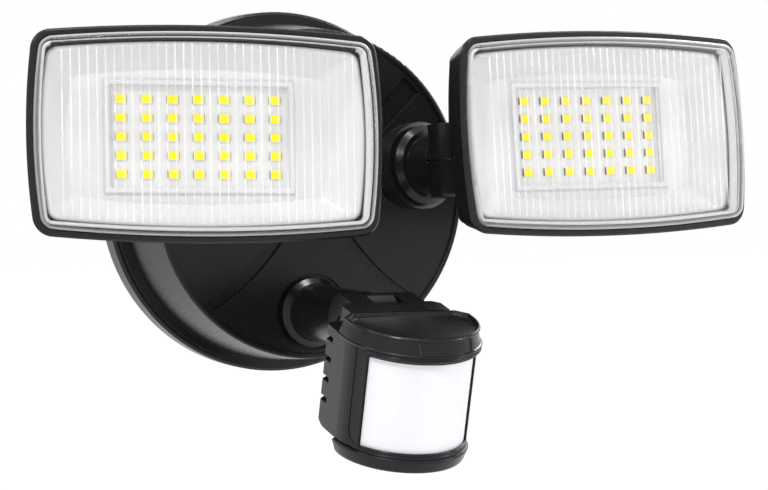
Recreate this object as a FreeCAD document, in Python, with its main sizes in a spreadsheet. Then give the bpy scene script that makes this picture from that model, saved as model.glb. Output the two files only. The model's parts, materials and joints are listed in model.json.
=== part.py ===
import FreeCAD, Part
import math
import os

import Sketcher

# A wall-mounted security light: a round canopy carries two swivelling LED flood heads and, below
# them, a motion sensor on its own arm.  Lengths are millimetres and angles are degrees.
# World frame: X to the viewer's right, Y into the wall, Z up; the origin is the centre of the
# gasket's back face, on the wall.
# Every sub-part is drawn lying on its back: its own Z points away from the wall or along its arm,
# and its own Y points up.

DIMENSIONS = {
    # canopy, back ring and wall gasket
    "flange_radius": 65.0,
    "flange_height": 9.6,
    "flange_width": 13.0,
    "flange_chamfer": 0.9,
    "gasket_thick": 1.5,
    "gasket_inset": 2.5,
    "plate_thick": 2.5,
    "rim_step": 1.7,
    "rim_thick": 2.2,
    "seam_depth": 0.8,
    "seam_height": 0.6,
    "foot_step": 2.6,
    "wall_draft": 2.6,
    "face_height": 42.4,
    "canopy_wall": 2.6,
    "face_fillet": 0.9,
    "face_rim_width": 1.8,
    "face_drop": 0.7,
    "groove_depth": 1.2,
    "groove_width": 4.2,
    "groove_bow": 2.8,
    "wide_groove_width": 8.0,
    "hub_radius": 13.0,
    "plug_radius": 8.0,
    "plug_depth": 8.0,
    "plug_proud": 1.0,
    "plug_wall": 1.8,
    # crossbar and canopy fixing screw
    "bar_end_gap": 2.0,
    "bar_width": 22.0,
    "bar_thick": 2.0,
    "bar_slot_margin": 3.05,
    "bar_slot_length": 14.5,
    "bar_slot_width": 5.0,
    "ground_hole_radius": 2.0,
    "ground_hole_offset": 20.0,
    "fixing_radius": 2.0,
    "fixing_head_radius": 4.0,
    "fixing_head_thick": 2.2,
    "fixing_boss_wall": 2.4,
    "fixing_seat_thick": 2.4,
    # driver
    "driver_length": 44.0,
    "driver_width": 24.0,
    "driver_height": 20.0,
    "driver_gap": 5.0,
    # head arms
    "socket_inset": 18.1,
    "socket_y": 9.5,
    "arm_lean": 13.0,
    "arm_rise": 5.4,
    "arm_reach": 27.7,
    "boss_radius": 15.6,
    "boss_height": 3.8,
    "boss_depth": 8.0,
    "nipple_radius": 8.0,
    "nipple_clear": 0.3,
    "nipple_tail": 6.0,
    "collar_radius": 14.1,
    "collar_step": 1.2,
    "collar_bevel": 1.7,
    "collar_top_radius": 12.2,
    "shank_radius": 10.2,
    "knuckle_radius": 12.7,
    "knuckle_height": 25.4,
    "joint_gap": 0.3,
    "knuckle_clear": 0.6,
    "seal_thick": 1.0,
    "seal_width": 3.2,
    "nut_across": 22.0,
    "nut_thick": 4.0,
    "pin_radius": 2.5,
    "pin_head_radius": 4.6,
    "pin_head_thick": 3.0,
    "counterbore_radius": 5.3,
    "counterbore_depth": 3.8,
    "running_clear": 0.08,
    # flood heads
    "head_width": 117.2,
    "head_height": 69.6,
    "head_bulge_side": 2.4,
    "head_bulge_top": 2.7,
    "head_corner": 7.0,
    "head_offset_x": 19.7,
    "head_offset_y": 4.0,
    "head_front": 58.5,
    "left_head_turn": 7.5,
    "right_head_turn": 6.0,
    "bezel_depth": 11.2,
    "bezel_draft": 2.7,
    "bezel_side": 2.1,
    "bezel_top": 2.1,
    "bezel_edge": 0.8,
    "bezel_ledge": 2.5,
    "ledge_depth": 3.2,
    "shell_inset": 0.5,
    "shell_corner": 5.4,
    "shell_straight": 1.4,
    "shell_taper_depth": 5.0,
    "tray_corner": 6.0,
    "fin_count": 13,
    "fin_pitch": 6.6,
    "fin_thick": 2.0,
    "fin_depth": 7.5,
    "fin_height": 44.0,
    "neck_width": 20.0,
    "board_seat": 2.4,
    "board_width": 92.0,
    "board_height": 48.0,
    "board_corner": 2.0,
    "board_thick": 1.6,
    "lens_clear": 0.3,
    "lens_wall": 2.0,
    "lens_proud": 4.4,
    "lens_edge": 3.0,
    "lens_gasket_thick": 0.6,
    "tray_clear": 0.6,
    "tray_wall": 1.4,
    "tray_floor_width": 90.0,
    "tray_floor_height": 46.0,
    "window_width": 59.0,
    "window_height": 32.5,
    "window_rim": 2.0,
    "window_rise": 1.0,
    "led_columns": 7,
    "led_rows": 5,
    "led_pitch_x": 8.5,
    "led_pitch_y": 6.0,
    "led_width": 3.5,
    "led_height": 2.8,
    "led_thick": 0.8,
    "head_screw_x": 49.0,
    "head_screw_y": 25.4,
    "head_screw_radius": 1.5,
    "head_screw_head": 2.8,
    "head_screw_head_thick": 2.0,
    "head_screw_floor": 0.8,
    "post_radius": 3.0,
    "post_height": 4.6,
    # sensor arm
    "sensor_socket_inset": 16.5,
    "sensor_reach": 53.1,
    "sensor_recess_radius": 13.4,
    "sensor_recess_depth": 1.0,
    "sensor_collar_radius": 12.2,
    "sensor_collar_thick": 2.6,
    "sensor_collar_bevel": 1.9,
    "sensor_shank_radius": 9.7,
    "sensor_lug_width": 10.0,
    "sensor_knuckle_radius": 9.7,
    "sensor_knuckle_width": 26.4,
    "sensor_nut_across": 20.0,
    # sensor
    "sensor_tilt": 14.6,
    "lens_axis_z": 27.1,
    "lens_axis_y": -13.6,
    "dome_radius": 21.4,
    "dome_wall": 1.2,
    "dome_half_height": 15.9,
    "dome_half_angle": 61.0,
    "sensor_back_z": 8.6,
    "sensor_split_z": 26.0,
    "sensor_half_width": 22.4,
    "sensor_top": 3.6,
    "sensor_bottom": -31.0,
    "sensor_wall": 2.0,
    "sensor_back_corner": 2.4,
    "sensor_back_round": 7.0,
    "sensor_crest_half_width": 18.0,
    "pillar_width": 2.4,
    "pillar_crease": 1.4,
    "vent_count": 4,
    "vent_pitch": 7.0,
    "vent_height": 1.8,
    "vent_depth": 2.4,
    "vent_reach": 5.0,
    "vent_lift": 2.6,
    "visor_half_width": 24.0,
    "visor_thick": 6.5,
    "visor_front_z": 50.8,
    "visor_overlap": 7.6,
    "visor_corner": 3.6,
    "visor_lip": 1.0,
    "visor_bead": 1.6,
    "visor_bead_height": 0.5,
    "cup_radius": 23.2,
    "cup_height": 4.9,
    "cup_inset": 1.6,
    "cup_overlap": 4.5,
    "sensor_board_thick": 1.6,
    "sensor_board_inset": 3.0,
    "detector_radius": 4.6,
    "detector_height": 4.2,
    "photocell_radius": 2.4,
    "knob_radius": 3.6,
    "knob_height": 2.6,
    "knob_spacing": 11.0,
    "knob_recess": 1.2,
    "knob_shaft_radius": 1.2,
    "knob_slot": 0.9,
}

doc = FreeCAD.newDocument("SecurityLight")
sheet = doc.addObject("Spreadsheet::Sheet", "Sizes")


class Size:
    """A value together with the sheet expression that gives it, so that both are worked out once."""

    def __init__(self, value, text):
        self.value = float(value)
        self.text = text

    def __add__(self, other):
        other = as_size(other)
        return Size(self.value + other.value, f"({self.text} + {other.text})")

    def __sub__(self, other):
        other = as_size(other)
        return Size(self.value - other.value, f"({self.text} - {other.text})")

    def __mul__(self, other):
        other = as_size(other)
        return Size(self.value * other.value, f"({self.text} * {other.text})")

    def __truediv__(self, other):
        other = as_size(other)
        return Size(self.value / other.value, f"({self.text} / {other.text})")

    def __neg__(self):
        return Size(-self.value, f"(-1 * {self.text})")

    __radd__ = __add__

    def __rsub__(self, other):
        return as_size(other) - self

    def __rmul__(self, other):
        return self * other


def as_size(number):
    """A plain count or factor as a Size."""
    return number if isinstance(number, Size) else Size(number, str(number))


def root(size):
    return Size(math.sqrt(size.value), f"sqrt({size.text})")


def cosine(angle):
    return Size(math.cos(math.radians(angle.value)), f"cos({angle.text})")


def sine(angle):
    return Size(math.sin(math.radians(angle.value)), f"sin({angle.text})")


def arctangent(ratio):
    """The angle in degrees whose tangent is ratio."""
    return Size(math.degrees(math.atan(ratio.value)), f"atan({ratio.text})")


class Sheet:
    """The driving dimensions, one attribute each."""


s = Sheet()
for row, (alias, value) in enumerate(DIMENSIONS.items(), 1):
    sheet.set(f"A{row}", alias)
    sheet.set(f"B{row}", str(value))
    sheet.setAlias(f"B{row}", alias)
    setattr(s, alias, Size(value, f"Sizes.{alias}"))
doc.recompute()

# Radii and places that follow from the flange's radius
s.back_opening = s.flange_radius - s.flange_width
s.rim_radius = s.flange_radius - s.rim_step
s.foot_radius = s.rim_radius - s.foot_step
s.face_radius = s.foot_radius - s.wall_draft
s.socket_x = s.face_radius - s.socket_inset
s.sensor_socket_y = s.sensor_socket_inset - s.face_radius
s.bar_length = 2 * (s.back_opening - s.bar_end_gap)
s.bar_slot_place = s.bar_length / 2 - s.bar_slot_margin - s.bar_slot_length / 2

# ---------------------------------------------------------------------------------------------
# Places: the canopy lies flat on the wall, and each arm and head has a frame of its own.

UPRIGHT = FreeCAD.Rotation(FreeCAD.Vector(1, 0, 0), 90)
UP = FreeCAD.Vector(0, 0, 1)
ACROSS = FreeCAD.Vector(1, 0, 0)
LEFT, RIGHT = -1, 1


def base_place():
    return FreeCAD.Placement(FreeCAD.Vector(), UPRIGHT)


def arm_turn(side):
    """The turn from the canopy's frame to a head arm's frame: outward lean, then upward rise."""
    rise = FreeCAD.Rotation(ACROSS, -s.arm_rise.value)
    lean = FreeCAD.Rotation(FreeCAD.Vector(0, 1, 0), side * s.arm_lean.value)
    return lean * rise


def socket_centre(side):
    return FreeCAD.Vector(side * s.socket_x.value, s.socket_y.value, s.face_height.value)


def arm_place(side):
    """The arm's frame: the origin is the knuckle's centre and Z runs out along the arm."""
    along = arm_turn(side).multVec(UP) * s.arm_reach.value
    return base_place() * FreeCAD.Placement(socket_centre(side) + along, arm_turn(side))


def head_place(side):
    """The head turns on the knuckle about the arm frame's Y axis."""
    turn = s.left_head_turn.value if side == LEFT else -s.right_head_turn.value
    return arm_place(side) * FreeCAD.Placement(FreeCAD.Vector(), FreeCAD.Rotation(FreeCAD.Vector(0, 1, 0), turn))


def sensor_arm_place():
    """The sensor arm's frame: the origin is its hinge pin's centre and Z runs straight out."""
    out = s.face_height.value + s.sensor_reach.value
    return base_place() * FreeCAD.Placement(FreeCAD.Vector(0, s.sensor_socket_y.value, out), FreeCAD.Rotation())


def sensor_place():
    """The sensor looks down from its hinge pin."""
    return sensor_arm_place() * FreeCAD.Placement(FreeCAD.Vector(), FreeCAD.Rotation(ACROSS, s.sensor_tilt.value))


# ---------------------------------------------------------------------------------------------
# Drawing: bodies, sketches whose every point is bound to the sheet, and the features made of them.

finished = []


def new_body(label, place):
    body = doc.addObject("PartDesign::Body", label)
    body.Label = label
    body.Placement = place
    finished.append(body)
    return body


def bind(thing, prop, size):
    size = as_size(size)
    setattr(thing, prop, size.value)
    thing.setExpression(prop, size.text)


def new_sketch(body, plane="XY", rise=0, place=None):
    """A sketch on one of the body's own origin planes, lifted along the plane's normal."""
    sketch = body.newObject("Sketcher::SketchObject", f"{body.Name}_sketch")
    support = next(f for f in body.Origin.OriginFeatures if f.Role == f"{plane}_Plane")
    sketch.AttachmentSupport = [(support, "")]
    sketch.MapMode = "FlatFace"
    if place is not None:
        sketch.AttachmentOffset = place
        return sketch
    rise = as_size(rise)
    sketch.AttachmentOffset = FreeCAD.Placement(FreeCAD.Vector(0, 0, rise.value), FreeCAD.Rotation())
    sketch.setExpression("AttachmentOffset.Base.z", rise.text)
    return sketch


def tie(sketch, kind, where, size):
    """Adds one driving constraint and binds it to the sheet."""
    size = as_size(size)
    index = sketch.addConstraint(Sketcher.Constraint(kind, *where, size.value))
    sketch.setExpression(f"Constraints[{index}]", size.text)


def tie_point(sketch, geometry, end, u, v):
    tie(sketch, "DistanceX", (-1, 1, geometry, end), u)
    tie(sketch, "DistanceY", (-1, 1, geometry, end), v)


def draw_outline(sketch, corners):
    """A closed outline.  A corner is (u, v), or (u, v, bulge) when an arc that stands out to the
    right of the direction of travel by bulge runs to the next corner."""
    corners = [tuple(as_size(c) for c in corner) for corner in corners]
    edges = []
    for start, end in zip(corners, corners[1:] + corners[:1]):
        a = FreeCAD.Vector(start[0].value, start[1].value, 0)
        b = FreeCAD.Vector(end[0].value, end[1].value, 0)
        if len(start) == 2:
            edges.append(sketch.addGeometry(Part.LineSegment(a, b)))
            continue
        along = (b - a).normalize()
        middle = (a + b) * 0.5 + FreeCAD.Vector(along.y, -along.x, 0) * start[2].value
        edges.append(sketch.addGeometry(Part.Arc(a, middle, b)))
    for index, (start, end) in enumerate(zip(corners, corners[1:] + corners[:1])):
        geometry = edges[index]
        a = FreeCAD.Vector(start[0].value, start[1].value, 0)
        first = 1 if sketch.getPoint(geometry, 1).isEqual(a, 1e-6) else 2
        follower = edges[(index + 1) % len(edges)]
        b = FreeCAD.Vector(end[0].value, end[1].value, 0)
        second = 1 if sketch.getPoint(follower, 1).isEqual(b, 1e-6) else 2
        sketch.addConstraint(Sketcher.Constraint("Coincident", geometry, 3 - first, follower, second))
        tie_point(sketch, geometry, first, start[0], start[1])
        if len(start) == 3:
            tie_arc_centre(sketch, geometry, start, end)


def tie_arc_centre(sketch, geometry, start, end):
    """The centre lies off the chord's middle by the arc's radius less its bulge."""
    run, climb, bulge = end[0] - start[0], end[1] - start[1], start[2]
    chord = root(run * run + climb * climb)
    inward = (chord * chord / 4 + bulge * bulge) / (2 * bulge) - bulge
    if abs(run.value) > abs(climb.value):
        tie(sketch, "DistanceY", (-1, 1, geometry, 3), (start[1] + end[1]) / 2 + inward * run / chord)
    else:
        tie(sketch, "DistanceX", (-1, 1, geometry, 3), (start[0] + end[0]) / 2 - inward * climb / chord)


def draw_circle(sketch, u, v, radius):
    u, v, radius = as_size(u), as_size(v), as_size(radius)
    centre = FreeCAD.Vector(u.value, v.value, 0)
    geometry = sketch.addGeometry(Part.Circle(centre, UP, radius.value))
    tie_point(sketch, geometry, 3, u, v)
    tie(sketch, "Radius", (geometry,), radius)


def draw_box(sketch, u, v, width, height):
    """A rectangle centred at (u, v)."""
    left, right = u - width / 2, u + width / 2
    low, high = v - height / 2, v + height / 2
    draw_outline(sketch, [(left, low), (right, low), (right, high), (left, high)])


def draw_bulged(sketch, u, v, width, height, side_bulge, top_bulge):
    """A flood head's outline about (u, v): four sides that bow out, over all width by height."""
    half_w, half_h = width / 2 - side_bulge, height / 2 - top_bulge
    draw_outline(sketch, [
        (u - half_w, v - half_h, top_bulge),
        (u + half_w, v - half_h, side_bulge),
        (u + half_w, v + half_h, top_bulge),
        (u - half_w, v + half_h, side_bulge),
    ])


def pad(body, sketch, length, back=False):
    feature = body.newObject("PartDesign::Pad", f"{body.Name}_pad")
    feature.Profile = sketch
    bind(feature, "Length", length)
    feature.Reversed = back
    return feature


def pocket(body, sketch, length, back=False):
    """Cuts against the sketch's normal, or along it when back is set."""
    doc.recompute()
    before = body.Shape.Volume
    feature = body.newObject("PartDesign::Pocket", f"{body.Name}_pocket")
    feature.Profile = sketch
    bind(feature, "Length", length)
    feature.Reversed = back
    doc.recompute()
    if body.Shape.Volume > before - 1e-3:
        raise RuntimeError(f"{body.Label}: {feature.Name} cuts nothing")
    return feature


def revolve(body, sketch, axis="V_Axis"):
    feature = body.newObject("PartDesign::Revolution", f"{body.Name}_revolution")
    feature.Profile = sketch
    feature.ReferenceAxis = (sketch, [axis])
    feature.Angle = 360
    return feature


def loft(body, first, second, cut=False):
    kind = "PartDesign::SubtractiveLoft" if cut else "PartDesign::AdditiveLoft"
    feature = body.newObject(kind, f"{body.Name}_loft")
    feature.Profile = first
    feature.Sections = [second]
    feature.Ruled = True
    return feature


def pattern(body, features, sketch, axis, length, count):
    """A row of copies; features is the first of the row."""
    row = body.newObject("PartDesign::LinearPattern", f"{body.Name}_row")
    row.Originals = features
    row.Direction = (sketch, [axis])
    bind(row, "Length", length)
    row.Occurrences = int(count.value)
    row.setExpression("Occurrences", count.text)
    body.Tip = row
    return row


def soften(body, kind, size, test):
    """A fillet or chamfer on the edges that pass the test."""
    doc.recompute()
    base = body.Tip
    names = [f"Edge{i}" for i, edge in enumerate(base.Shape.Edges, 1) if test(edge)]
    if not names:
        raise RuntimeError(f"{body.Label}: no edge to soften")
    feature = body.newObject(f"PartDesign::{kind}", f"{body.Name}_{kind.lower()}")
    feature.Base = (base, names)
    bind(feature, "Radius" if kind == "Fillet" else "Size", size)
    return feature


def group(label, solids, place):
    """Like fasteners or chips that share one node."""
    item = doc.addObject("Part::Feature", label)
    item.Label = label
    item.Shape = Part.makeCompound(solids)
    item.Placement = place
    finished.append(item)


def is_upright(edge):
    """True for a straight edge along Z."""
    if edge.Curve.TypeId != "Part::GeomLine":
        return False
    return abs(edge.tangentAt(edge.FirstParameter).z) > 0.999


def level(height, spread=1e-4):
    """A test for edges that lie wholly at one height."""
    def test(edge):
        box = edge.BoundBox
        return abs(box.ZMin - height) < spread and abs(box.ZMax - height) < spread
    return test


def climbs(height):
    """A test for edges that rise by one height."""
    def test(edge):
        return abs(edge.BoundBox.ZLength - height.value) < 1e-2
    return test


def between(low, high, length=None):
    """A test for upright edges that lie between two heights, and have one length if it is given."""
    def test(edge):
        box = edge.BoundBox
        inside = is_upright(edge) and box.ZMin > low.value - 1e-4 and box.ZMax < high.value + 1e-4
        return inside and (length is None or abs(box.ZLength - length.value) < 1e-3)
    return test


def beyond(edge, reach):
    """True for an edge whose every point is at least nearly reach away along X."""
    box = edge.BoundBox
    return min(abs(box.XMin), abs(box.XMax)) > reach.value - 1e-3


# ---------------------------------------------------------------------------------------------
# Canopy, back ring, gasket and what they hold.


def wall_gasket():
    body = new_body("wall_gasket", base_place())
    sketch = new_sketch(body)
    draw_circle(sketch, 0, 0, s.flange_radius - s.gasket_inset)
    draw_circle(sketch, 0, 0, s.back_opening)
    pad(body, sketch, s.gasket_thick)


def back_ring():
    """The ring that meets the wall; the canopy's rim sits on its top edge."""
    body = new_body("back_ring", base_place())
    sketch = new_sketch(body, "XZ")
    floor = s.gasket_thick + s.plate_thick
    band = s.foot_radius - s.canopy_wall - s.lens_clear
    draw_outline(sketch, [
        (s.back_opening, s.gasket_thick),
        (s.flange_radius, s.gasket_thick),
        (s.flange_radius, s.flange_height - s.flange_chamfer),
        (s.flange_radius - s.flange_chamfer, s.flange_height),
        (band, s.flange_height),
        (band, floor),
        (s.back_opening, floor),
    ])
    revolve(body, sketch)


def groove(body, rise, points):
    """A shallow channel in the canopy's face."""
    sketch = new_sketch(body, "XY", rise)
    draw_outline(sketch, points)
    return pocket(body, sketch, s.groove_depth)


def canopy():
    """The dished cover: rim, conical wall, recessed face, channels between its lobes and sockets."""
    body = new_body("canopy", base_place())
    sketch = new_sketch(body, "XZ")
    rim_top = s.flange_height + s.rim_thick
    draw_outline(sketch, [
        (s.foot_radius - s.canopy_wall, s.flange_height),
        (s.rim_radius - s.seam_depth, s.flange_height),
        (s.rim_radius - s.seam_depth, s.flange_height + s.seam_height),
        (s.rim_radius, s.flange_height + s.seam_height),
        (s.rim_radius, rim_top),
        (s.foot_radius, rim_top),
        (s.face_radius, s.face_height),
        (0, s.face_height),
        (0, s.face_height - s.canopy_wall),
        (s.face_radius - s.canopy_wall, s.face_height - s.canopy_wall),
    ])
    revolve(body, sketch)
    soften(body, "Fillet", s.face_fillet, level(s.face_height.value))

    recess = new_sketch(body, "XY", s.face_height)
    draw_circle(recess, 0, 0, s.face_radius - s.face_rim_width)
    pocket(body, recess, s.face_drop)
    face = s.face_height - s.face_drop

    diagonal = root(as_size(2)) / 2
    inner = s.hub_radius * diagonal
    outer = (s.face_radius - s.face_rim_width * 2) * diagonal
    for side in (LEFT, RIGHT):
        # the lower channels bow towards the sensor's lobe
        offset = s.groove_width / 2 * diagonal
        bow = side * s.groove_bow
        groove(body, face, [
            (side * (inner - offset), -(inner + offset), bow),
            (side * (outer - offset), -(outer + offset)),
            (side * (outer + offset), -(outer - offset), -bow),
            (side * (inner + offset), -(inner - offset)),
        ])
        # the upper channels are straight and wider
        offset = s.wide_groove_width / 2 * diagonal
        groove(body, face, [
            (side * (inner - offset), inner + offset),
            (side * (outer - offset), outer + offset),
            (side * (outer + offset), outer - offset),
            (side * (inner + offset), inner - offset),
        ])

    for side in (LEFT, RIGHT):
        boss_end = arm_turn(side).multVec(UP) * (s.boss_height.value)
        place = FreeCAD.Placement(socket_centre(side) + boss_end, arm_turn(side))
        boss = new_sketch(body, place=place)
        draw_circle(boss, 0, 0, s.boss_radius)
        pad(body, boss, s.boss_height + s.boss_depth, back=True)
        hole = new_sketch(body, place=place)
        draw_circle(hole, 0, 0, s.nipple_radius + s.nipple_clear)
        pocket(body, hole, s.boss_height + s.boss_depth)

    ring = new_sketch(body, "XY", face)
    draw_circle(ring, 0, s.sensor_socket_y, s.sensor_recess_radius)
    pocket(body, ring, s.sensor_recess_depth)
    boss = new_sketch(body, "XY", s.face_height - s.canopy_wall)
    draw_circle(boss, 0, s.sensor_socket_y, s.sensor_recess_radius)
    pad(body, boss, s.boss_depth - s.canopy_wall, back=True)
    hole = new_sketch(body, "XY", face)
    draw_circle(hole, 0, s.sensor_socket_y, s.nipple_radius + s.nipple_clear)
    pocket(body, hole, s.boss_depth)

    # the fixing screw's well: a boss inside, the plug's recess and the screw's hole
    floor = face - s.plug_depth
    well = new_sketch(body, "XY", face - s.groove_depth / 2)
    draw_circle(well, 0, 0, s.plug_radius + s.fixing_boss_wall)
    pad(body, well, s.plug_depth + s.fixing_seat_thick - s.groove_depth / 2, back=True)
    recess = new_sketch(body, "XY", face)
    draw_circle(recess, 0, 0, s.plug_radius)
    pocket(body, recess, s.plug_depth)
    hole = new_sketch(body, "XY", floor)
    draw_circle(hole, 0, 0, s.fixing_radius + s.nipple_clear)
    pocket(body, hole, s.fixing_seat_thick)


def canopy_plug():
    """The rubber cup that closes the fixing screw's well."""
    body = new_body("canopy_plug", base_place())
    sketch = new_sketch(body, "XZ")
    top = s.face_height - s.face_drop + s.plug_proud
    skirt = s.face_height - s.face_drop - s.plug_depth + s.fixing_head_thick
    draw_outline(sketch, [
        (s.plug_radius - s.plug_wall, skirt),
        (s.plug_radius, skirt),
        (s.plug_radius, top - s.plug_proud),
        (s.plug_radius - s.plug_wall / 2, top),
        (0, top),
        (0, top - s.plug_wall),
        (s.plug_radius - s.plug_wall, top - s.plug_wall),
    ])
    revolve(body, sketch)


def crossbar():
    """The strip that is screwed over the junction box, slotted to suit its screws."""
    body = new_body("crossbar", base_place())
    sketch = new_sketch(body)
    draw_box(sketch, as_size(0), as_size(0), s.bar_length, s.bar_width)
    pad(body, sketch, s.bar_thick)
    slots = new_sketch(body, "XY", s.bar_thick)
    half = s.bar_slot_width / 2
    run = (s.bar_slot_length - s.bar_slot_width) / 2
    for side in (LEFT, RIGHT):
        centre = side * s.bar_slot_place
        draw_outline(slots, [
            (centre - run, -half),
            (centre + run, -half, half),
            (centre + run, half),
            (centre - run, half, half),
        ])
    draw_circle(slots, 0, 0, s.fixing_radius)
    draw_circle(slots, s.ground_hole_offset, 0, s.ground_hole_radius)
    pocket(body, slots, s.bar_thick)
    soften(body, "Fillet", s.bar_slot_width / 2, lambda e: is_upright(e) and beyond(e, s.bar_length / 2))


def fixing_screw():
    """The long screw that draws the canopy on to the crossbar."""
    body = new_body("fixing_screw", base_place())
    sketch = new_sketch(body, "XZ")
    seat = s.face_height - s.face_drop - s.plug_depth
    draw_outline(sketch, [
        (0, 0),
        (s.fixing_radius, 0),
        (s.fixing_radius, seat),
        (s.fixing_head_radius, seat),
        (s.fixing_head_radius, seat + s.fixing_head_thick),
        (0, seat + s.fixing_head_thick),
    ])
    revolve(body, sketch)


def driver():
    """The potted LED driver, seated under the canopy's face above the fixing screw's boss."""
    body = new_body("led_driver", base_place())
    inside = s.face_height - s.canopy_wall
    sketch = new_sketch(body, "XY", inside)
    middle = s.plug_radius + s.fixing_boss_wall + s.driver_gap + s.driver_width / 2
    draw_box(sketch, 0, middle, s.driver_length, s.driver_width)
    pad(body, sketch, s.driver_height, back=True)
    soften(body, "Fillet", s.driver_gap / 2, is_upright)


# ---------------------------------------------------------------------------------------------
# Arms of the two flood heads.


def hexagon(sketch, across):
    radius = across / root(as_size(3))
    half, high = radius / 2, across / 2
    draw_outline(sketch, [
        (-radius, 0), (-half, -high), (half, -high), (radius, 0), (half, high), (-half, high),
    ])


def arm_seat():
    """Where a head arm's seal starts, in the arm's frame: just above its boss on the canopy."""
    return s.boss_height + s.joint_gap - s.arm_reach


def arm_tail():
    """Where the canopy's boss ends inside, in the arm's frame."""
    return -(s.arm_reach + s.boss_depth)


def head_arm(side, name):
    """Threaded nipple, collar and shank, ending in the knuckle's lower lug."""
    body = new_body(f"{name}_arm", arm_place(side))
    shank = new_sketch(body, "XZ")
    collar = arm_seat() + s.seal_thick
    draw_outline(shank, [
        (0, arm_tail() - s.nut_thick - s.nipple_tail),
        (s.nipple_radius, arm_tail() - s.nut_thick - s.nipple_tail),
        (s.nipple_radius, collar),
        (s.collar_radius, collar),
        (s.collar_radius, collar + s.collar_step),
        (s.collar_top_radius, collar + s.collar_step + s.collar_bevel),
        (s.shank_radius, collar + s.collar_step + s.collar_bevel),
        (s.shank_radius, 0),
        (0, 0),
    ])
    revolve(body, shank)
    room = new_sketch(body, "XZ", s.joint_gap / 2)
    draw_circle(room, 0, 0, s.knuckle_radius + s.knuckle_clear)
    pocket(body, room, s.knuckle_height)
    lug = new_sketch(body, "XZ", s.joint_gap / 2)
    draw_circle(lug, 0, 0, s.knuckle_radius)
    pad(body, lug, (s.knuckle_height - s.joint_gap) / 2)
    low = -s.knuckle_height.value / 2
    soften(body, "Fillet", s.bezel_edge, lambda e: abs(e.BoundBox.YMax - low) < 1e-4)
    hole = new_sketch(body, "XZ", s.knuckle_height / 2)
    draw_circle(hole, 0, 0, s.pin_radius)
    pocket(body, hole, s.knuckle_height / 2)


def arm_seal(side, name):
    """The rubber washer under the arm's collar."""
    body = new_body(f"{name}_arm_seal", arm_place(side))
    sketch = new_sketch(body, "XY", arm_seat())
    draw_circle(sketch, 0, 0, s.nipple_radius + s.joint_gap + s.seal_width)
    draw_circle(sketch, 0, 0, s.nipple_radius + s.joint_gap)
    pad(body, sketch, s.seal_thick)


def arm_nut(side, name):
    """The lock nut on the arm's nipple, inside the canopy."""
    body = new_body(f"{name}_arm_nut", arm_place(side))
    sketch = new_sketch(body, "XY", arm_tail() - s.joint_gap)
    hexagon(sketch, s.nut_across)
    draw_circle(sketch, 0, 0, s.nipple_radius)
    pad(body, sketch, s.nut_thick, back=True)


def knuckle_screw(side, name):
    """The screw on which the head swivels; it stands in the arm's lug."""
    body = new_body(f"{name}_knuckle_screw", arm_place(side))
    sketch = new_sketch(body, "XY")
    seat = s.knuckle_height / 2 - s.counterbore_depth + s.joint_gap
    draw_outline(sketch, [
        (0, s.joint_gap - s.knuckle_height / 2),
        (s.pin_radius, s.joint_gap - s.knuckle_height / 2),
        (s.pin_radius, seat),
        (s.pin_head_radius, seat),
        (s.pin_head_radius, seat + s.pin_head_thick),
        (0, seat + s.pin_head_thick),
    ])
    revolve(body, sketch)
    drive = new_sketch(body, "XZ", -(seat + s.pin_head_thick))
    hexagon(drive, s.pin_radius * 1.6)
    pocket(body, drive, s.pin_head_thick / 2, back=True)


# ---------------------------------------------------------------------------------------------
# Flood heads.


def head_centre(side):
    return side * s.head_offset_x, s.head_offset_y


def head_outline(sketch, side, inset, inset_top=None):
    """The head's bowed outline, drawn in from its full size."""
    u, v = head_centre(side)
    inset_top = inset if inset_top is None else inset_top
    draw_bulged(sketch, u, v, s.head_width - 2 * inset, s.head_height - 2 * inset_top,
                s.head_bulge_side, s.head_bulge_top)


def head_bezel(side, name):
    """The frame round the lens, with a ledge for it and four screw posts behind."""
    body = new_body(f"{name}_bezel", head_place(side))
    back, front = s.head_front - s.bezel_depth, s.head_front
    outer = new_sketch(body, "XY", front)
    head_outline(outer, side, as_size(0))
    drafted = pad(body, outer, s.bezel_depth, back=True)
    bind(drafted, "TaperAngle", -arctangent(s.bezel_draft / s.bezel_depth))
    soften(body, "Fillet", s.head_corner, climbs(s.bezel_depth))
    soften(body, "Chamfer", s.bezel_edge, level(front.value))
    opening = new_sketch(body, "XY", front)
    head_outline(opening, side, s.bezel_side, s.bezel_top)
    pocket(body, opening, s.ledge_depth)
    soften(body, "Fillet", s.head_corner - s.bezel_side, between(front - s.ledge_depth, front))
    inner = new_sketch(body, "XY", front - s.ledge_depth)
    head_outline(inner, side, s.bezel_side + s.bezel_ledge, s.bezel_top + s.bezel_ledge)
    pocket(body, inner, s.bezel_depth - s.ledge_depth)
    soften(body, "Fillet", s.head_corner - s.bezel_side - s.bezel_ledge, between(back, front - s.ledge_depth))
    posts = new_sketch(body, "XY", back)
    holes = new_sketch(body, "XY", back)
    for u, v in head_screw_places(side):
        draw_circle(posts, u, v, s.post_radius)
        draw_circle(holes, u, v, s.head_screw_radius)
    pad(body, posts, s.post_height)
    pocket(body, holes, s.post_height, back=True)


def head_screw_places(side):
    u, v = head_centre(side)
    return [(u + a * s.head_screw_x, v + b * s.head_screw_y) for a in (-1, 1) for b in (-1, 1)]


def head_screw_seat():
    """How far behind the housing's front its screws' heads bear, clear of the board."""
    return s.board_seat + s.head_screw_floor


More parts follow.
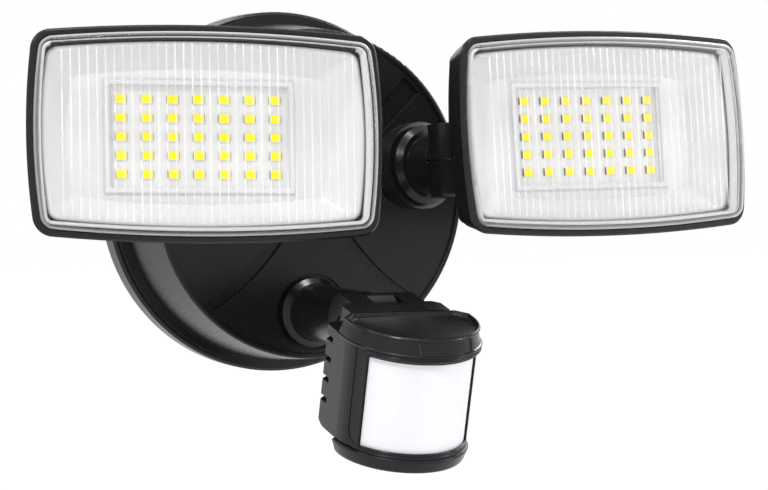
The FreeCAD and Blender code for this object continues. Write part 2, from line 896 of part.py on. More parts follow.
def head_housing(side, name):
    """The cast rear shell: flange, tapered back, cooling fins, neck and the knuckle's upper lug."""
    body = new_body(f"{name}_housing", head_place(side))
    u, v = head_centre(side)
    front = s.head_front - s.bezel_depth
    step = front - s.shell_straight
    back = step - s.shell_taper_depth
    shell = new_sketch(body, "XY", front)
    head_outline(shell, side, s.bezel_draft + s.shell_inset)
    pad(body, shell, front - back, back=True)
    soften(body, "Fillet", s.shell_corner, is_upright)
    soften(body, "Chamfer", s.shell_taper_depth, level(back.value))

    fin = new_sketch(body, "XY", back)
    run = s.fin_pitch * (s.fin_count - 1)
    draw_box(fin, u - run / 2, v, s.fin_thick, s.fin_height)
    first = pad(body, fin, s.fin_depth, back=True)
    pattern(body, [first], fin, "H_Axis", run, s.fin_count)

    block = new_sketch(body, "XY", back)
    top = s.knuckle_height / 2
    draw_box(block, 0, 0, s.neck_width, s.knuckle_height)
    pad(body, block, back - s.knuckle_radius - 3 * s.knuckle_clear, back=True)
    lug = new_sketch(body, "XZ", -(s.joint_gap / 2))
    draw_circle(lug, 0, 0, s.knuckle_radius)
    pad(body, lug, top - s.joint_gap / 2, back=True)
    neck = new_sketch(body, "XZ", -(s.joint_gap / 2))
    half = s.neck_width / 2
    draw_outline(neck, [(-half, 0), (half, 0), (half, back), (-half, back)])
    pad(body, neck, top - s.joint_gap / 2, back=True)
    bore = new_sketch(body, "XZ", -(s.joint_gap / 2))
    draw_circle(bore, 0, 0, s.pin_radius + s.running_clear)
    pocket(body, bore, top)
    sink = new_sketch(body, "XZ", -top)
    draw_circle(sink, 0, 0, s.counterbore_radius)
    pocket(body, sink, s.counterbore_depth, back=True)

    seat = new_sketch(body, "XY", front)
    draw_box(seat, u, v, s.board_width, s.board_height)
    pocket(body, seat, s.board_seat)
    soften(body, "Fillet", s.board_corner, between(front - s.board_seat, front, s.board_seat))
    wells = new_sketch(body, "XY", back)
    holes = new_sketch(body, "XY", front)
    for x, y in head_screw_places(side):
        draw_circle(wells, x, y, s.head_screw_head + s.joint_gap)
        draw_circle(holes, x, y, s.head_screw_radius)
    pocket(body, wells, s.shell_straight + s.shell_taper_depth - head_screw_seat(), back=True)
    pocket(body, holes, head_screw_seat())


def head_lens(side, name):
    """The clear pillow-shaped lens, hollow behind."""
    body = new_body(f"{name}_lens", head_place(side))
    seat = s.head_front - s.ledge_depth + s.lens_gasket_thick
    front = s.head_front + s.lens_proud
    outer = new_sketch(body, "XY", seat)
    head_outline(outer, side, s.bezel_side + s.lens_clear, s.bezel_top + s.lens_clear)
    pad(body, outer, front - seat)
    soften(body, "Fillet", s.head_corner - s.bezel_side - s.lens_clear, is_upright)
    soften(body, "Fillet", s.lens_edge, level(front.value))
    inner = new_sketch(body, "XY", seat)
    inset = s.lens_clear + s.lens_wall
    head_outline(inner, side, s.bezel_side + inset, s.bezel_top + inset)
    pocket(body, inner, front - seat - s.lens_wall, back=True)


def lens_gasket(side, name):
    """The flat seal between the lens and the bezel's ledge."""
    body = new_body(f"{name}_lens_gasket", head_place(side))
    seat = s.head_front - s.ledge_depth
    sketch = new_sketch(body, "XY", seat)
    head_outline(sketch, side, s.bezel_side + s.lens_clear, s.bezel_top + s.lens_clear)
    pad(body, sketch, s.lens_gasket_thick)
    soften(body, "Fillet", s.head_corner - s.bezel_side - s.lens_clear, is_upright)
    inset = s.lens_clear + s.lens_wall
    inner = new_sketch(body, "XY", seat)
    head_outline(inner, side, s.bezel_side + inset, s.bezel_top + inset)
    pocket(body, inner, s.lens_gasket_thick, back=True)


def reflector(side, name):
    """The white tray: sloping walls, a flat floor and a raised frame round the LEDs' window."""
    body = new_body(f"{name}_reflector", head_place(side))
    u, v = head_centre(side)
    floor = board_top()
    brim = s.head_front - s.ledge_depth
    margin = s.bezel_ledge + s.tray_clear
    low = new_sketch(body, "XY", floor)
    draw_bulged(low, u, v, s.tray_floor_width, s.tray_floor_height, s.head_bulge_side, s.head_bulge_top)
    high = new_sketch(body, "XY", brim)
    head_outline(high, side, s.bezel_side + margin, s.bezel_top + margin)
    loft(body, low, high)
    thin = s.tray_wall
    low = new_sketch(body, "XY", floor + thin)
    draw_bulged(low, u, v, s.tray_floor_width - 2 * thin, s.tray_floor_height - 2 * thin,
                s.head_bulge_side, s.head_bulge_top)
    high = new_sketch(body, "XY", brim)
    head_outline(high, side, s.bezel_side + margin + thin, s.bezel_top + margin + thin)
    loft(body, low, high, cut=True)
    soften(body, "Fillet", s.tray_corner - thin, climbs(brim - floor - thin))
    soften(body, "Fillet", s.tray_corner, climbs(brim - floor))
    frame = new_sketch(body, "XY", floor + thin)
    draw_box(frame, u, v, s.window_width + 2 * s.window_rim, s.window_height + 2 * s.window_rim)
    pad(body, frame, s.window_rise)
    window = new_sketch(body, "XY", floor + thin + s.window_rise)
    draw_box(window, u, v, s.window_width, s.window_height)
    pocket(body, window, thin + s.window_rise)


def board_top():
    return s.head_front - s.bezel_depth - s.board_seat + s.board_thick


def led_board(side, name):
    """The white circuit board that carries the LEDs."""
    body = new_body(f"{name}_led_board", head_place(side))
    sketch = new_sketch(body, "XY", board_top())
    u, v = head_centre(side)
    draw_box(sketch, u, v, s.board_width, s.board_height)
    pad(body, sketch, s.board_thick, back=True)
    soften(body, "Fillet", s.board_corner, is_upright)


def led_chips(side, name):
    """The LED packages, a grid of separate solids on the board."""
    u, v = head_centre(side)
    columns, rows = int(s.led_columns.value), int(s.led_rows.value)
    wide, high, thick = s.led_width.value, s.led_height.value, s.led_thick.value
    chips = []
    for column in range(columns):
        for row in range(rows):
            x = u.value + (column - (columns - 1) / 2) * s.led_pitch_x.value
            y = v.value + (row - (rows - 1) / 2) * s.led_pitch_y.value
            corner = FreeCAD.Vector(x - wide / 2, y - high / 2, board_top().value)
            chips.append(Part.makeBox(wide, high, thick, corner))
    group(f"{name}_led_chips", chips, head_place(side))


def head_screws(side, name):
    """The four screws that hold the housing to the bezel."""
    seat = (s.head_front - s.bezel_depth - head_screw_seat()).value
    length = (head_screw_seat() + s.post_height - s.joint_gap).value
    screws = []
    for x, y in head_screw_places(side):
        base = FreeCAD.Vector(x.value, y.value, seat)
        shank = Part.makeCylinder(s.head_screw_radius.value, length, base)
        thick = s.head_screw_head_thick.value
        cap = Part.makeCylinder(s.head_screw_head.value, thick, base - UP * thick)
        screws.append(shank.fuse(cap).removeSplitter())
    group(f"{name}_head_screws", screws, head_place(side))


# ---------------------------------------------------------------------------------------------
# The sensor's arm.


def sensor_seat():
    """Where the sensor arm's seal starts, in its own frame: just above the canopy's recess."""
    return s.joint_gap - s.sensor_reach - s.face_drop - s.sensor_recess_depth


def sensor_tail():
    """Where the canopy's sensor boss ends inside, in the arm's frame."""
    return -(s.sensor_reach + s.boss_depth)


def sensor_arm():
    """Nipple, bevelled collar and shank, ending in the hinge's middle lug."""
    body = new_body("sensor_arm", sensor_arm_place())
    shank = new_sketch(body, "XZ")
    collar = sensor_seat() + s.seal_thick
    bevel = collar + s.sensor_collar_thick
    radius = s.sensor_knuckle_radius
    end = -(radius + s.knuckle_clear)
    draw_outline(shank, [
        (0, sensor_tail() - s.nut_thick - s.nipple_tail),
        (s.nipple_radius, sensor_tail() - s.nut_thick - s.nipple_tail),
        (s.nipple_radius, collar),
        (s.sensor_collar_radius, collar),
        (s.sensor_collar_radius, bevel - s.sensor_collar_bevel / 2),
        (s.sensor_shank_radius + s.knuckle_clear, bevel + s.sensor_collar_bevel / 2),
        (s.sensor_shank_radius, bevel + s.sensor_collar_bevel / 2),
        (s.sensor_shank_radius, end),
        (0, end),
    ])
    revolve(body, shank)
    lug = new_sketch(body, "YZ", -(s.sensor_lug_width / 2))
    draw_circle(lug, 0, 0, radius)
    pad(body, lug, s.sensor_lug_width)
    neck = new_sketch(body, "YZ", -(s.sensor_lug_width / 2))
    high = radius * 0.82
    draw_outline(neck, [(-high, end - s.seal_thick), (high, end - s.seal_thick), (high, 0), (-high, 0)])
    pad(body, neck, s.sensor_lug_width)
    hole = new_sketch(body, "YZ", s.sensor_lug_width / 2)
    draw_circle(hole, 0, 0, s.pin_radius)
    pocket(body, hole, s.sensor_lug_width)


def sensor_seal():
    body = new_body("sensor_arm_seal", sensor_arm_place())
    sketch = new_sketch(body, "XY", sensor_seat())
    draw_circle(sketch, 0, 0, s.nipple_radius + s.joint_gap + s.seal_width)
    draw_circle(sketch, 0, 0, s.nipple_radius + s.joint_gap)
    pad(body, sketch, s.seal_thick)


def sensor_nut():
    body = new_body("sensor_arm_nut", sensor_arm_place())
    sketch = new_sketch(body, "XY", sensor_tail() - s.joint_gap)
    hexagon(sketch, s.sensor_nut_across)
    draw_circle(sketch, 0, 0, s.nipple_radius)
    pad(body, sketch, s.nut_thick, back=True)


def sensor_hinge_screw():
    """The screw across the sensor's hinge; it is held in the arm's lug."""
    body = new_body("sensor_hinge_screw", sensor_arm_place())
    sketch = new_sketch(body, "XY")
    seat = s.sensor_knuckle_width / 2 - s.pin_head_thick
    draw_outline(sketch, [
        (s.joint_gap - s.sensor_knuckle_width / 2, 0),
        (s.joint_gap - s.sensor_knuckle_width / 2, s.pin_radius),
        (seat, s.pin_radius),
        (seat, s.pin_head_radius),
        (seat + s.pin_head_thick - s.joint_gap, s.pin_head_radius),
        (seat + s.pin_head_thick - s.joint_gap, 0),
    ])
    revolve(body, sketch, "H_Axis")


# ---------------------------------------------------------------------------------------------
# The sensor.  Its frame's origin is the hinge pin; Z runs forward through the lens and Y is up.


def sensor_rear():
    """The rear shell: chamfered block, side vents and the hinge's two ears."""
    body = new_body("sensor_rear_housing", sensor_place())
    back, split, half = s.sensor_back_z, s.sensor_split_z, s.sensor_half_width
    corner = s.sensor_back_corner
    block = new_sketch(body, "XZ", -s.sensor_top)
    draw_outline(block, [
        (corner - half, back), (half - corner, back), (half, back + corner), (half, split),
        (-half, split), (-half, back + corner),
    ])
    pad(body, block, s.sensor_top - s.sensor_bottom)
    low, rear = s.sensor_bottom.value, back.value

    def lower_rear(edge):
        box = edge.BoundBox
        return abs(box.YMax - low) < 1e-3 and abs(box.ZMax - rear) < 1e-3

    soften(body, "Fillet", s.sensor_back_round, lower_rear)
    radius, reach = s.sensor_knuckle_radius, s.sensor_knuckle_width / 2
    crest = new_sketch(body, "XZ", -s.sensor_top)
    side = s.sensor_crest_half_width
    end = visor_back() - s.joint_gap
    draw_outline(crest, [
        (corner - side, back), (side - corner, back), (side, back + corner), (side, end),
        (-side, end), (-side, back + corner),
    ])
    pad(body, crest, radius - s.sensor_top, back=True)
    ears = new_sketch(body, "YZ", -reach)
    draw_circle(ears, 0, 0, radius)
    pad(body, ears, s.sensor_knuckle_width)
    cheeks = new_sketch(body, "YZ", -reach)
    depth = back + s.sensor_wall
    draw_outline(cheeks, [(-radius, 0), (radius, 0), (radius, depth), (-radius, depth)])
    pad(body, cheeks, s.sensor_knuckle_width)
    room = radius + s.joint_gap
    slot = new_sketch(body, "XZ", -room)
    wide = s.sensor_lug_width / 2 + s.joint_gap
    draw_outline(slot, [(-wide, -room), (wide, -room), (wide, room), (-wide, room)])
    pocket(body, slot, room * 2, back=True)
    bore = new_sketch(body, "YZ", reach)
    draw_circle(bore, 0, 0, s.pin_radius + s.running_clear)
    pocket(body, bore, s.sensor_knuckle_width)
    sink = new_sketch(body, "YZ", reach)
    draw_circle(sink, 0, 0, s.counterbore_radius)
    pocket(body, sink, s.pin_head_thick + s.joint_gap)
    run = s.vent_pitch * (s.vent_count - 1)
    highest = s.lens_axis_y + s.vent_lift + (run + s.vent_height) / 2
    for side in (LEFT, RIGHT):
        vent = new_sketch(body, "XZ", -highest)
        near, far = side * (half - s.vent_depth - corner), side * half
        draw_outline(vent, sorted_box(near, far, back, back + corner + s.vent_reach))
        first = pocket(body, vent, s.vent_height, back=True)
        pattern(body, [first], vent, "N_Axis", run, s.vent_count)


def sorted_box(near, far, low, high):
    left, right = (near, far) if near.value < far.value else (far, near)
    return [(left, low), (right, low), (right, high), (left, high)]


def sensor_front():
    """The front shell: side pillars and back wall round the lens."""
    body = new_body("sensor_front_housing", sensor_place())
    half, split = s.sensor_half_width, s.sensor_split_z
    pillar = s.lens_axis_z + s.dome_radius * cosine(s.dome_half_angle)
    inner = (s.dome_radius + s.joint_gap) * sine(s.dome_half_angle)
    plan = new_sketch(body, "XZ", -s.sensor_top)
    crease, edge = split + s.pillar_crease, inner + s.pillar_width
    draw_outline(plan, [
        (-half, split), (half, split), (half, crease), (edge, pillar), (-edge, pillar), (-half, crease),
    ])
    pad(body, plan, s.sensor_top - s.sensor_bottom)
    hollow = new_sketch(body, "XY", pillar)
    low = s.lens_axis_y - s.dome_half_height - s.joint_gap
    high = s.lens_axis_y + s.dome_half_height + s.joint_gap
    draw_outline(hollow, [(-inner, low), (inner, low), (inner, high), (-inner, high)])
    pocket(body, hollow, pillar - split - s.sensor_wall)


def sensor_lens():
    """The curved white lens in front of the detector, open behind."""
    body = new_body("sensor_lens", sensor_place())
    outer, inner = s.dome_radius, s.dome_radius - s.dome_wall
    cos, sin = cosine(s.dome_half_angle), sine(s.dome_half_angle)
    axis = s.lens_axis_z
    plan = new_sketch(body, "XZ", -(s.lens_axis_y + s.dome_half_height))
    draw_outline(plan, [
        (outer * sin, axis + outer * cos, outer - outer * cos),
        (-(outer * sin), axis + outer * cos),
        (-(inner * sin), axis + inner * cos, inner * cos - inner),
        (inner * sin, axis + inner * cos),
    ])
    pad(body, plan, 2 * s.dome_half_height)


def crown(sketch, half_width, back, front):
    """A plan with a straight back, chamfered rear corners, and a bowed front that ends at front."""
    shoulder = s.lens_axis_z
    corner = s.visor_corner
    draw_outline(sketch, [
        (-half_width, shoulder), (-half_width, back + corner), (corner - half_width, back),
        (half_width - corner, back), (half_width, back + corner), (half_width, shoulder, front - shoulder),
    ])


def lip(sketch, outer_half, outer_front, inner_half, inner_front, back):
    """A bowed band in front of the pillars."""
    shoulder = s.lens_axis_z
    outer = bowed_at(outer_half, outer_front - shoulder, back - shoulder)
    inner = bowed_at(inner_half, inner_front - shoulder, back - shoulder)
    draw_outline(sketch, [
        (-outer, back, -(outer_front - back)), (outer, back), (inner, back, inner_front - back), (-inner, back),
    ])


def bowed_at(half_width, rise, height):
    """Half the width, at one height, of an arc that spans half_width twice and rises by rise."""
    radius = (half_width * half_width + rise * rise) / (2 * rise)
    drop = radius - rise + height
    return root(radius * radius - drop * drop)


def visor_back():
    return s.sensor_split_z - s.visor_overlap


def visor():
    """The hood over the lens: a hollow cap with a beaded top and a bowed front lip."""
    body = new_body("sensor_visor", sensor_place())
    half, front, back = s.visor_half_width, s.visor_front_z, visor_back()
    cap = new_sketch(body, "XZ", -(s.sensor_top))
    crown(cap, half, back, front)
    pad(body, cap, s.visor_thick, back=True)
    top = s.sensor_top + s.visor_thick
    soften(body, "Chamfer", s.visor_lip, lambda e: abs(e.BoundBox.YMin - top.value) < 1e-4)
    panel = new_sketch(body, "XZ", -top)
    rim = s.visor_lip + s.visor_bead
    crown(panel, half - rim, back + rim, front - rim)
    pocket(body, panel, s.visor_bead_height, back=True)
    hollow = new_sketch(body, "XZ", -(s.sensor_top))
    wall = s.sensor_wall
    crown(hollow, half - wall, back + wall, front - wall)
    pocket(body, hollow, s.visor_thick - 2 * wall)
    pillar = s.lens_axis_z + s.dome_radius * cosine(s.dome_half_angle) + s.joint_gap
    band = new_sketch(body, "XZ", -(s.sensor_top))
    lip(band, half, front, half - wall, front - wall, pillar)
    pad(body, band, wall)


def cup():
    """The lower cup: a ledged band that closes the shell below the lens."""
    body = new_body("sensor_cup", sensor_place())
    half, front = s.cup_radius, s.lens_axis_z + s.cup_radius
    plan = new_sketch(body, "XZ", -(s.sensor_bottom))
    crown(plan, half, s.sensor_split_z - s.cup_overlap, front)
    pad(body, plan, s.cup_height)
    low = (s.sensor_bottom - s.cup_height).value
    soften(body, "Fillet", s.cup_inset, lambda e: abs(e.BoundBox.YMax - low) < 1e-4)
    pillar = s.lens_axis_z + s.dome_radius * cosine(s.dome_half_angle) + s.joint_gap
    band = new_sketch(body, "XZ", -(s.sensor_bottom))
    inner = s.dome_radius + s.joint_gap
    lip(band, half - s.cup_inset / 2, front - s.cup_inset / 2, inner, s.lens_axis_z + inner, pillar)
    pad(body, band, s.sensor_wall, back=True)
    wells = new_sketch(body, "XZ", -low)
    holes = new_sketch(body, "XZ", -low)
    for index in KNOBS:
        draw_circle(wells, index * s.knob_spacing, knob_z(), s.knob_radius + s.joint_gap)
        draw_circle(holes, index * s.knob_spacing, knob_z(), s.knob_shaft_radius + s.running_clear)
    pocket(body, wells, s.knob_recess)
    pocket(body, holes, s.cup_height)


KNOBS = {-1: "time_knob", 0: "light_knob", 1: "range_knob"}


def knob_z():
    return s.lens_axis_z + s.cup_overlap


def knob(index, name):
    """A slotted control under the cup, on a shaft that runs up to its switch."""
    body = new_body(name, sensor_place())
    u = index * s.knob_spacing
    top = s.sensor_bottom - s.cup_height + s.knob_recess - s.joint_gap
    head = new_sketch(body, "XZ", -top)
    draw_circle(head, u, knob_z(), s.knob_radius)
    pad(body, head, s.knob_height)
    shaft = new_sketch(body, "XZ", -top)
    draw_circle(shaft, u, knob_z(), s.knob_shaft_radius)
    pad(body, shaft, s.cup_height - s.knob_recess, back=True)
    slot = new_sketch(body, "XZ", -(top - s.knob_height))
    draw_box(slot, u, knob_z(), 2 * s.knob_radius - s.knob_slot, s.knob_slot)
    pocket(body, slot, s.knob_slot)


def sensor_board():
    """The detector's circuit board, on the front shell's back wall."""
    body = new_body("sensor_board", sensor_place())
    sketch = new_sketch(body, "XY", s.sensor_split_z + s.sensor_wall)
    high = s.sensor_top - s.sensor_bottom - 2 * s.sensor_board_inset
    wide = 2 * (s.dome_radius - 2 * s.sensor_board_inset)
    draw_box(sketch, 0, (s.sensor_top + s.sensor_bottom) / 2, wide, high)
    pad(body, sketch, s.sensor_board_thick)


def detector():
    """The infrared detector's can, on the lens's axis height."""
    body = new_body("infrared_detector", sensor_place())
    face = s.sensor_split_z + s.sensor_wall + s.sensor_board_thick
    can = new_sketch(body, "XY", face)
    draw_circle(can, 0, s.lens_axis_y, s.detector_radius)
    pad(body, can, s.detector_height)
    foot = new_sketch(body, "XY", face)
    draw_circle(foot, 0, s.lens_axis_y, s.detector_radius + s.joint_gap * 2)
    pad(body, foot, s.joint_gap * 2)


def photocell():
    """The day and night cell, beside the detector."""
    body = new_body("photocell", sensor_place())
    sketch = new_sketch(body, "XY", s.sensor_split_z + s.sensor_wall + s.sensor_board_thick)
    draw_circle(sketch, s.knob_spacing, s.lens_axis_y - s.knob_spacing, s.photocell_radius)
    pad(body, sketch, s.photocell_radius)


def build():
    wall_gasket()
    back_ring()
    canopy()
    canopy_plug()
    crossbar()
    fixing_screw()
    driver()
    for side, name in ((LEFT, "left"), (RIGHT, "right")):
        head_arm(side, name)
        arm_seal(side, name)
        arm_nut(side, name)
        knuckle_screw(side, name)
        head_housing(side, name)
        head_bezel(side, name)
        head_lens(side, name)
        lens_gasket(side, name)
        reflector(side, name)
        led_board(side, name)
        led_chips(side, name)
        head_screws(side, name)
    sensor_arm()
    sensor_seal()
    sensor_nut()
    sensor_hinge_screw()
    sensor_rear()
    sensor_front()
    sensor_lens()
    visor()
    cup()
    sensor_board()
    detector()
    photocell()
    for index, name in KNOBS.items():
        knob(index, name)


def check_and_write():
    """Stops on any failed object, then writes each sub-part to its own file."""
    doc.recompute()
    for item in doc.Objects:
        if "Invalid" in item.State or "Error" in item.State:
            raise RuntimeError(f"{item.Name} failed: {item.State}")
    for item in finished:
        if item.Shape.isNull() or not item.Shape.isValid():
            raise RuntimeError(f"{item.Label} has no valid shape")
    os.makedirs("parts", exist_ok=True)
    for item in finished:
        item.Shape.exportStep(f"parts/{item.Label}.step")
        print(f"{item.Label}: {len(item.Shape.Solids)} solid(s), {item.Shape.Volume:.0f} mm3")


build()
check_and_write()
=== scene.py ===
import json
import math

import bmesh
import bpy
from mathutils import Matrix, Vector


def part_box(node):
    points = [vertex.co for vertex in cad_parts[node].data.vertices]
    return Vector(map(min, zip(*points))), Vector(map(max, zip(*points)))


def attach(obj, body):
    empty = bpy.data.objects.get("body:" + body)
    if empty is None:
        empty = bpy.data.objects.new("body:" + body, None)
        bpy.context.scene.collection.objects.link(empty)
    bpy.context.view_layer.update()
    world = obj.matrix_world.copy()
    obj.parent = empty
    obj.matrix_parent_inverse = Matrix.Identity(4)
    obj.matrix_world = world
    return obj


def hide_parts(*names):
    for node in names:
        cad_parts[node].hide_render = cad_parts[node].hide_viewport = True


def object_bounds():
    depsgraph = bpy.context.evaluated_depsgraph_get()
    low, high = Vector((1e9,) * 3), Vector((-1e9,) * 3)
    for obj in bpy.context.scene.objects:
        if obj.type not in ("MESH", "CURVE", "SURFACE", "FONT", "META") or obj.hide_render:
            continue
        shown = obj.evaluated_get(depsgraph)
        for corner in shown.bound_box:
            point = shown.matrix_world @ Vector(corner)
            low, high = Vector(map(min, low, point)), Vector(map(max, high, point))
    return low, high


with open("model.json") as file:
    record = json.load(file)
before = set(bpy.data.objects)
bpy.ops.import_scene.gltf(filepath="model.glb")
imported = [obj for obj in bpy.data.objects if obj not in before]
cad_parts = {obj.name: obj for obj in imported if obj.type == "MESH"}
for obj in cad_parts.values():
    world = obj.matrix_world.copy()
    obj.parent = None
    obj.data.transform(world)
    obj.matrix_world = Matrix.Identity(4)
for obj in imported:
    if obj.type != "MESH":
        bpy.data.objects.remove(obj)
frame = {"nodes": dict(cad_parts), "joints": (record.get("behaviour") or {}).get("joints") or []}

cad_low, cad_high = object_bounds()
MM = 0.001


# ---------------------------------------------------------------------------------------------
# Wall gasket and seals: closed-cell rubber, die-cut or moulded, pressed between the parts.  The
# skin is dead matt with a fine grain.

def srgb(hex_colour):
    """The linear colour of an sRGB hex value."""
    channels = [int(hex_colour[i:i + 2], 16) / 255 for i in (1, 3, 5)]
    return [c / 12.92 if c <= 0.04045 else ((c + 0.055) / 1.055) ** 2.4 for c in channels] + [1.0]


def add_node(material, kind, settings=None, inputs=None, links=None):
    """Adds one shader node; links gives, for an input, the node and output that feed it."""
    node = material.node_tree.nodes.new(kind)
    for name, value in (settings or {}).items():
        setattr(node, name, value)
    for name, value in (inputs or {}).items():
        node.inputs[name].default_value = value
    for name, (source, output) in (links or {}).items():
        material.node_tree.links.new(source.outputs[output], node.inputs[name])
    return node


def new_material(name):
    """A material with an empty node tree."""
    material = bpy.data.materials.new(name)
    material.use_nodes = True
    material.node_tree.nodes.clear()
    return material


# A Mix node's sockets for colours, which share their names with those for numbers.
FIRST_COLOUR, SECOND_COLOUR, MIXED_COLOUR = 6, 7, 2


def grained_finish(name, colour, pale, roughness, grain_mm, depth_mm, edge_mm=0.0, shader=None):
    """A surface with two close tones in soft clouds, and a grain in its roughness and its bump.

    The finest grains are drawn coarser than they are, so that they show.
    """
    cloud_mm, roughness_spread = 24, 0.05
    material = new_material(name)
    place = add_node(material, "ShaderNodeTexCoord")
    grain = add_node(material, "ShaderNodeTexNoise", inputs={"Scale": 1 / (grain_mm * MM), "Detail": 3.0},
                     links={"Vector": (place, "Object")})
    cloud = add_node(material, "ShaderNodeTexNoise", inputs={"Scale": 1 / (cloud_mm * MM), "Detail": 2.0},
                     links={"Vector": (place, "Object")})
    tone = add_node(material, "ShaderNodeMix", {"data_type": "RGBA"},
                    {FIRST_COLOUR: srgb(colour), SECOND_COLOUR: srgb(pale)}, {0: (cloud, "Fac")})
    polish = add_node(material, "ShaderNodeMapRange", inputs={
        "From Min": 0.3, "From Max": 0.7,
        "To Min": roughness - roughness_spread, "To Max": roughness + roughness_spread},
        links={"Value": (grain, "Fac")})
    links = {"Height": (grain, "Fac")}
    if edge_mm:
        rounded = add_node(material, "ShaderNodeBevel", {"samples": 6}, {"Radius": edge_mm * MM})
        links["Normal"] = (rounded, "Normal")
    bump = add_node(material, "ShaderNodeBump", inputs={"Strength": 0.5, "Distance": depth_mm * MM},
                    links=links)
    surface = add_node(material, "ShaderNodeBsdfPrincipled", inputs=shader, links={
        "Base Color": (tone, MIXED_COLOUR), "Roughness": (polish, "Result"), "Normal": (bump, "Normal")})
    add_node(material, "ShaderNodeOutputMaterial", links={"Surface": (surface, "BSDF")})
    return material


def finish_nodes(material, slot, *names):
    """Gives CAD nodes their material."""
    for name in names:
        node = frame["nodes"][name]
        node.data.materials.clear()
        node.data.materials.append(material)


rubber = grained_finish("closed_cell_rubber", "#141414", "#1c1c1c", roughness=0.82, grain_mm=0.5,
                        depth_mm=0.03, shader={"Specular IOR Level": 0.25})
finish_nodes(rubber, "seal_rubber", "wall_gasket", "canopy_plug", "sensor_arm_seal",
             "left_arm_seal", "right_arm_seal", "left_lens_gasket", "right_lens_gasket")

# ---------------------------------------------------------------------------------------------
# Back ring and canopy: aluminium with a satin black powder coat.  The coat flows smooth over the
# metal, rounds its edges and leaves a faint orange peel.

powder_coat = grained_finish("satin_black_powder_coat", "#131316", "#1a1a1d", roughness=0.27,
                             grain_mm=0.8, depth_mm=0.0015, edge_mm=0.25,
                             shader={"Specular IOR Level": 0.3})
finish_nodes(powder_coat, "canopy_black", "canopy", "back_ring")

# ---------------------------------------------------------------------------------------------
# Crossbar and fixing screw: zinc-plated steel, bright and cool grey.  The bar spans the junction
# box; the screw passes through the canopy into its middle and has a slotted head and a rolled
# thread.

zinc = grained_finish("bright_zinc_plate", "#9fa1a6", "#b3b4b6", roughness=0.3, grain_mm=0.4,
                      depth_mm=0.006, edge_mm=0.3, shader={"Metallic": 1.0})
finish_nodes(zinc, "zinc_steel", "crossbar", "left_arm_nut", "right_arm_nut", "sensor_arm_nut")


def axes_at(origin, up, out):
    """A frame in millimetres whose Y is up and whose Z is out."""
    turned = Matrix((up.cross(out), up, out)).transposed().to_4x4()
    turned.translation = origin
    return turned @ Matrix.Scale(MM, 4)


def new_piece(name, body, material, axes, vertices, faces, sharp=35):
    """A closed mesh from points in the axes' millimetres; edges over the sharp angle stay crisp."""
    shape = bmesh.new()
    points = [shape.verts.new(axes @ Vector(point)) for point in vertices]
    for face in faces:
        shape.faces.new([points[index] for index in face])
    bmesh.ops.recalc_face_normals(shape, faces=shape.faces)
    mesh = bpy.data.meshes.new(name)
    shape.to_mesh(mesh)
    shape.free()
    mesh.materials.append(material)
    mesh.shade_smooth()
    mesh.set_sharp_from_angle(angle=math.radians(sharp))
    piece = bpy.data.objects.new(name, mesh)
    bpy.context.scene.collection.objects.link(piece)
    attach(piece, body)
    return piece


def ring_shell(rings, first_vertex=0):
    """Faces that join rings of equally many points and close both ends."""
    count = len(rings[0])
    faces = []
    for level in range(len(rings) - 1):
        low = first_vertex + level * count
        for i in range(count):
            j = (i + 1) % count
            faces.append((low + i, low + j, low + count + j, low + count + i))
    last = first_vertex + (len(rings) - 1) * count
    faces.append(tuple(range(first_vertex + count - 1, first_vertex - 1, -1)))
    faces.append(tuple(range(last, last + count)))
    return faces


def ringed_piece(name, body, material, axes, rings, sharp=35):
    """A closed piece whose skin runs from ring to ring."""
    points = [point for ring in rings for point in ring]
    return new_piece(name, body, material, axes, points, ring_shell(rings), sharp)


def circle(radius, height, around):
    """The points of a circle round Z."""
    angles = [2 * math.pi * i / around for i in range(around)]
    return [(radius * math.cos(angle), radius * math.sin(angle), height) for angle in angles]


def drive_ring(radius, height, drive, around):
    """The points of a screw's drive recess: a cross, a slot or a hexagon with the radius."""
    points = []
    for x, y, _ in circle(1.0, height, around):
        if drive == "hexagon":
            from_flat = math.atan2(y, x) % (math.pi / 3) - math.pi / 6
            reach = radius * math.cos(math.pi / 6) / math.cos(from_flat)
        elif drive == "slot":
            reach = min(radius, 0.22 * radius / max(abs(y), 1e-6))
        else:
            arm = max(abs(x), abs(y))
            reach = min(radius, 0.24 * radius / max(min(abs(x), abs(y)), 1e-6)) * arm + 0.02 * radius
        points.append((reach * x, reach * y, height))
    return points


def screw(name, node, body, material, axes, size, drive, pitch=0.8):
    """A pan-headed machine screw, its head's seat at the origin and its head towards Z.

    The size is the head's radius and thickness, then the shank's radius and length.
    """
    head_radius, head_thick, shank_radius, length = size
    around, steps_a_turn = 48, 6
    crown, socket, depth = 0.25 * head_thick, 0.58 * head_radius, 0.55 * head_thick
    rings = [drive_ring(0.55 * socket if drive == "cross" else socket, head_thick - depth, drive, around),
             drive_ring(socket, head_thick, drive, around)]
    profile = ((0.72 * head_radius, head_thick - 0.3 * crown), (0.9 * head_radius, head_thick - crown),
               (head_radius, head_thick - 2 * crown), (head_radius, 0.0), (shank_radius, 0.0))
    rings += [circle(radius, height, around) for radius, height in profile]
    steps = int(length / pitch * steps_a_turn)
    for step in range(1, steps + 1):
        height = -length * step / steps
        run_out = min(1.0, 4 * step / steps, 8 * (1 - step / steps))
        end_chamfer = 0.4 * shank_radius if step == steps else 0.0
        ring = []
        for i, (x, y, _) in enumerate(circle(1.0, height, around)):
            turn = (height / pitch + i / around) % 1.0
            groove = 0.32 * pitch * (1 - abs(2 * turn - 1)) * run_out
            radius = shank_radius - groove - end_chamfer
            ring.append((radius * x, radius * y, height))
        rings.append(ring)
    piece = ringed_piece(name, body, material, axes, rings)
    if node:
        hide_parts(node)
    return piece


